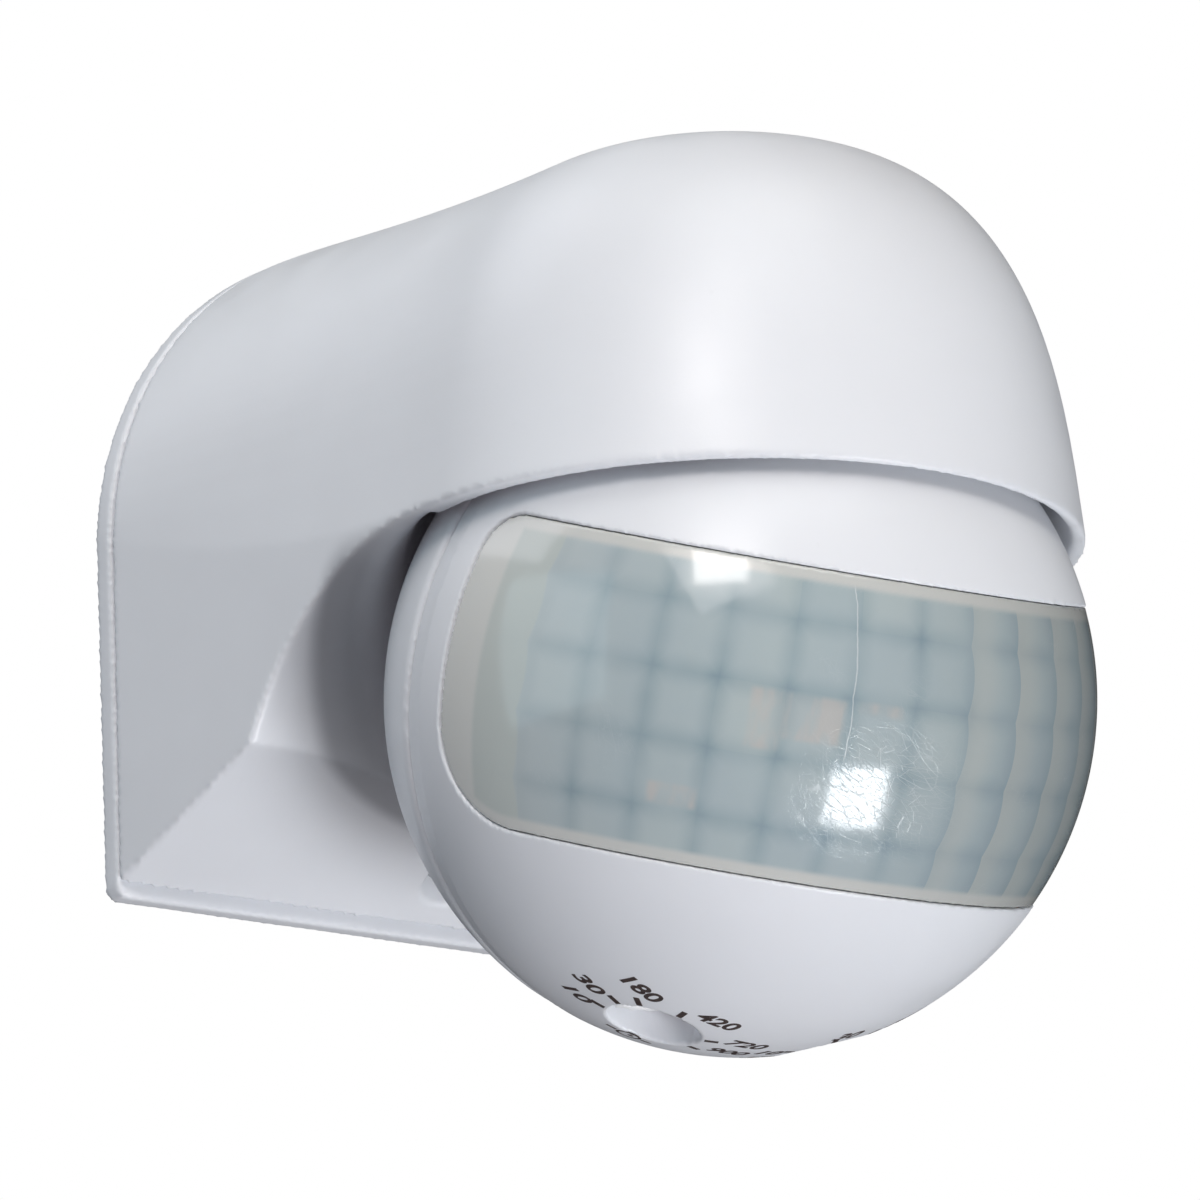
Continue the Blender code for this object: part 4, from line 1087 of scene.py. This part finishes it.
def flat_bar(name, centre, size, angle, slant=0.0):
    """A flat bar in the print's plane, turned by an angle in degrees."""
    shape = bmesh.new()
    bmesh.ops.create_cube(shape, size=1.0)
    bmesh.ops.scale(shape, vec=(size[0], size[1], PRINT_DEPTH), verts=shape.verts)
    for vertex in shape.verts:
        vertex.co.x += slant * vertex.co.y
    turn = Matrix.Translation((centre[0], centre[1], 0)) @ Matrix.Rotation(math.radians(angle), 4, "Z")
    bmesh.ops.transform(shape, matrix=turn, verts=shape.verts)
    bmesh.ops.subdivide_edges(shape, edges=shape.edges, cuts=2, use_grid_fill=True)
    return from_bmesh(name, shape)


def number(name, text, corner):
    """A bold slanted number whose lower left corner is given."""
    curve = bpy.data.curves.new(name, "FONT")
    curve.body = text
    curve.size = TEXT_SIZE * MM
    curve.shear = TEXT_SLANT
    curve.offset = 0.07 * MM
    curve.extrude = PRINT_DEPTH / 2 * MM
    curve.resolution_u = 5
    shape = curve_shape(name, curve)
    bmesh.ops.triangulate(shape, faces=shape.faces)
    bmesh.ops.subdivide_edges(shape, edges=shape.edges, cuts=2, use_grid_fill=True)
    bmesh.ops.scale(shape, vec=(TEXT_WIDEN, 1, 1), verts=shape.verts)
    bmesh.ops.translate(shape, vec=(corner[0], corner[1], 0), verts=shape.verts)
    return from_bmesh(name, shape)


def ring_mark(name, centre, inner, outer):
    """A flat ring, or a disc when inner is 0."""
    half = PRINT_DEPTH / 2
    profile = [(inner, half), (outer, half), (outer, -half), (inner, -half)]
    place = Matrix.Translation((centre[0] * MM, centre[1] * MM, 0))
    return turned(name, profile, 32, closed=inner > 0, place=place)


def clock_mark(centre):
    """A clock face with two hands, which stands for the switch-on time."""
    x, y = centre
    return [
        ring_mark("clock_rim", centre, 0.95, 1.25),
        flat_bar("clock_hand", (x, y + 0.35), (0.26, 0.7), 0),
        flat_bar("clock_pointer", (x + 0.25, y), (0.5, 0.26), 0),
        flat_bar("clock_bar_left", (x - 2.0, y), (1.1, 0.4), 0),
        flat_bar("clock_bar_right", (x + 2.0, y), (1.1, 0.4), 0),
    ]


def sun_mark(centre):
    """A sun with eight rays, which stands for the light level."""
    marks = [ring_mark("sun", centre, 0.0, 0.6)]
    for i in range(8):
        angle = 45 * i
        turn = math.radians(angle)
        middle = (centre[0] + 1.0 * math.cos(turn), centre[1] + 1.0 * math.sin(turn))
        marks.append(flat_bar("ray", middle, (0.45, 0.2), angle))
    return marks


def dial_marks(dial_x, scale, symbol):
    """The ticks, numbers and symbol of one dial, wrapped onto the ball round the dial's hole."""
    marks = symbol((0.8, -5.6))
    for text, angle, corner in scale:
        turn = math.radians(angle)
        middle = (TICK_R * math.cos(turn), TICK_R * math.sin(turn))
        marks.append(flat_bar("tick", middle, (TICK_L, TICK_W), angle))
        marks.append(number("number", text, corner))
    for mark in marks:
        for vertex in mark.data.vertices:
            across, forward, depth = vertex.co / MM
            x = dial_x + across
            y = -forward
            point = Vector((x, y, -math.sqrt(BALL_R**2 - x * x - y * y)))
            vertex.co = point.normalized() * (BALL_R + PRINT_LIFT - PRINT_DEPTH / 2 + depth) * MM
    return marks


def merged(name, pieces):
    """One object made of several."""
    shape = bmesh.new()
    for piece in pieces:
        shape.from_mesh(piece.data)
        bpy.data.objects.remove(piece, do_unlink=True)
    mesh = bpy.data.meshes.new(name)
    shape.to_mesh(mesh)
    shape.free()
    return add_object(name, mesh)


def make_dial_print():
    marks = dial_marks(-DIAL_X, TIME_SCALE, clock_mark) + dial_marks(DIAL_X, LUX_SCALE, sun_mark)
    dial_print = merged("dial_print", marks)
    dial_print.data.transform(HEAD @ BOARD)
    return dial_print


# ---------------------------------------------------------------- stage


def make_floor():
    shape = bmesh.new()
    bmesh.ops.create_grid(shape, x_segments=2, y_segments=2, size=3000)
    bmesh.ops.translate(shape, vec=(0, 0, -1100), verts=shape.verts)
    floor = from_bmesh("floor", shape)
    material, tree, shader = new_material("floor_paint", (0.82, 0.82, 0.82), 0.6)
    tone = spread(tree, noise(tree, 60.0, 3.0), 0.55, 0.65)
    tree.links.new(tone, shader.inputs["Roughness"])
    floor.data.materials.append(material)


def make_world(ambient):
    """A white backdrop for the camera, and a dimmer even light on the object."""
    world = bpy.data.worlds.new("studio")
    world.use_nodes = True
    tree = world.node_tree
    tree.nodes.clear()
    white = node(tree, "ShaderNodeBackground")
    white.inputs["Color"].default_value = (1.0, 1.0, 1.0, 1.0)
    white.inputs["Strength"].default_value = 1.0
    light = node(tree, "ShaderNodeBackground")
    light.inputs["Color"].default_value = (0.93, 0.96, 1.0, 1.0)
    light.inputs["Strength"].default_value = ambient
    mixer = node(tree, "ShaderNodeMixShader")
    tree.links.new(node(tree, "ShaderNodeLightPath").outputs["Is Camera Ray"], mixer.inputs["Fac"])
    tree.links.new(light.outputs["Background"], mixer.inputs[1])
    tree.links.new(white.outputs["Background"], mixer.inputs[2])
    tree.links.new(mixer.outputs["Shader"], node(tree, "ShaderNodeOutputWorld").inputs["Surface"])
    bpy.context.scene.world = world


def seen_from(azimuth, elevation, roll):
    """The way to a place at an azimuth (0 in front, positive to the right), and the turn that looks back."""
    turn = math.radians(azimuth)
    rise = math.radians(elevation)
    away = Vector((math.sin(turn) * math.cos(rise), -math.cos(turn) * math.cos(rise), math.sin(rise)))
    return away, away.to_track_quat("Z", "Y").to_matrix() @ Matrix.Rotation(math.radians(roll), 3, "Z")


def softbox(name, azimuth, elevation, distance, size, power, colour, mirrored, roll):
    """A square light aimed at the ball; one that isn't mirrored stays out of every reflection."""
    away, facing = seen_from(azimuth, elevation, roll)
    lamp = bpy.data.lights.new(name, "AREA")
    lamp.shape = "RECTANGLE"
    lamp.size = size
    lamp.size_y = size
    lamp.energy = power
    lamp.color = colour
    obj = add_object(name, lamp)
    obj.location = BALL_CENTRE * MM + away * distance
    obj.rotation_euler = facing.to_euler()
    obj.visible_glossy = mirrored


def make_camera():
    """Below and to the left of the head, looking up at it from 0.7 m."""
    facing = seen_from(CAMERA_AZIMUTH, CAMERA_ELEVATION, CAMERA_ROLL)[1]
    lens = bpy.data.cameras.new("camera")
    lens.lens = CAMERA_LENS
    lens.sensor_width = CAMERA_SENSOR
    lens.clip_start = 0.01
    camera = add_object("camera", lens)
    camera.matrix_world = Matrix.Translation(CAMERA_PLACE) @ facing.to_4x4()
    bpy.context.scene.camera = camera


# ---------------------------------------------------------------- assembly


def dress(obj, material):
    obj.data.materials.clear()
    obj.data.materials.append(material)


def stand_for(piece, name, body, slot, material, *nodes):
    """A finished piece that rides on a body in place of CAD nodes."""
    piece.name = name
    dress(piece, material)
    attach(piece, body)
    if nodes:
        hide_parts(*nodes)


def finish_cad_node(name, material):
    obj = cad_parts[name]
    dress(obj, material)
    bevel = obj.modifiers.new("edges", "BEVEL")
    bevel.width = 0.12 * MM
    bevel.segments = 2
    bevel.limit_method = "ANGLE"
    bevel.angle_limit = math.radians(50)


bpy.context.scene.view_settings.view_transform = "Standard"
make_camera()
make_floor()
make_world(AMBIENT_LIGHT)
for softbox_settings in SOFTBOXES:
    softbox(*softbox_settings)

white_case = case_plastic("white_case")
white_head = head_plastic("white_head")
white_knob = knob_plastic("white_knob")
pale_plastic = inner_plastic("pale_plastic")
dark_plastic = black_plastic("dark_plastic")
seal_rubber = rubber("seal_rubber")
lead_rubber = rubber("lead_sleeve", (0.06, 0.06, 0.065))
plated_steel = brushed_metal("plated_steel", (0.66, 0.67, 0.69), 0.3)
terminal_brass = brushed_metal("terminal_brass", (0.72, 0.52, 0.24), 0.32)
green_board = board_resin("green_board")
amber_resin = moulded_plastic("amber_resin", (0.62, 0.3, 0.08), 0.3)
red_resin = moulded_plastic("red_resin", (0.6, 0.03, 0.02), 0.25)
brown_lacquer = moulded_plastic("brown_lacquer", (0.42, 0.12, 0.04), 0.35)
blue_plastic = moulded_plastic("blue_plastic", (0.03, 0.12, 0.38), 0.4)

stand_for(make_hood(), "hood_moulding", "base", "case", hood_plastic("white_hood"), "hood")
stand_for(make_wall_plate(), "wall_plate_moulding", "base", "case", white_case, "wall_plate")
stand_for(make_front_shell(), "front_shell_moulding", "head", "head_case", white_head, "front_shell")
stand_for(make_rear_shell(), "rear_shell_moulding", "head", "head_case", white_head, "rear_shell")
stand_for(make_lens(), "fresnel_lens_film", "head", "lens", lens_plastic("lens_film"), "fresnel_lens")
stand_for(make_dial_print(), "dial_scale_print", "head", "black_plastic", print_ink("dial_ink"))
stand_for(place_knob("time", -DIAL_X), "time_knob_moulding", "time_dial", "knob", white_knob, "time_knob")
stand_for(place_knob("lux", DIAL_X), "lux_knob_moulding", "lux_dial", "knob", white_knob, "lux_knob")

SHELL_CORNERS = ("upper_left", "upper_right", "lower_left", "lower_right")
SHELL_SCREW_NAMES = tuple(f"shell_screw_{corner}" for corner in SHELL_CORNERS)
NODE_FINISHES = (
    (seal_rubber, ("cover_seal", "cable_grommet", "friction_washer", "head_seal")),
    (lead_rubber, ("hood_lead",)),
    (pale_plastic, ("terminal_block", "swivel_stem", "swivel_nut", "lens_retainer", "lead_connector")),
    (plated_steel, ("cover_screw", "tilt_pin", "tilt_nut", "tilt_washer_left", "tilt_washer_right")),
    (plated_steel, ("pir_sensor",) + SHELL_SCREW_NAMES),
    (terminal_brass, ("terminal_screw_live", "terminal_screw_neutral", "terminal_screw_load")),
    (green_board, ("sensor_board", "power_board")),
    (dark_plastic, ("pir_filter", "motion_chip", "board_link", "electrolytic_capacitor")),
    (amber_resin, ("light_sensor",)),
    (red_resin, ("indicator_led",)),
    (brown_lacquer, ("film_capacitor",)),
    (blue_plastic, ("relay", "time_potentiometer", "lux_potentiometer")),
)
for material, names in NODE_FINISHES:
    for name in names:
        finish_cad_node(name, material)
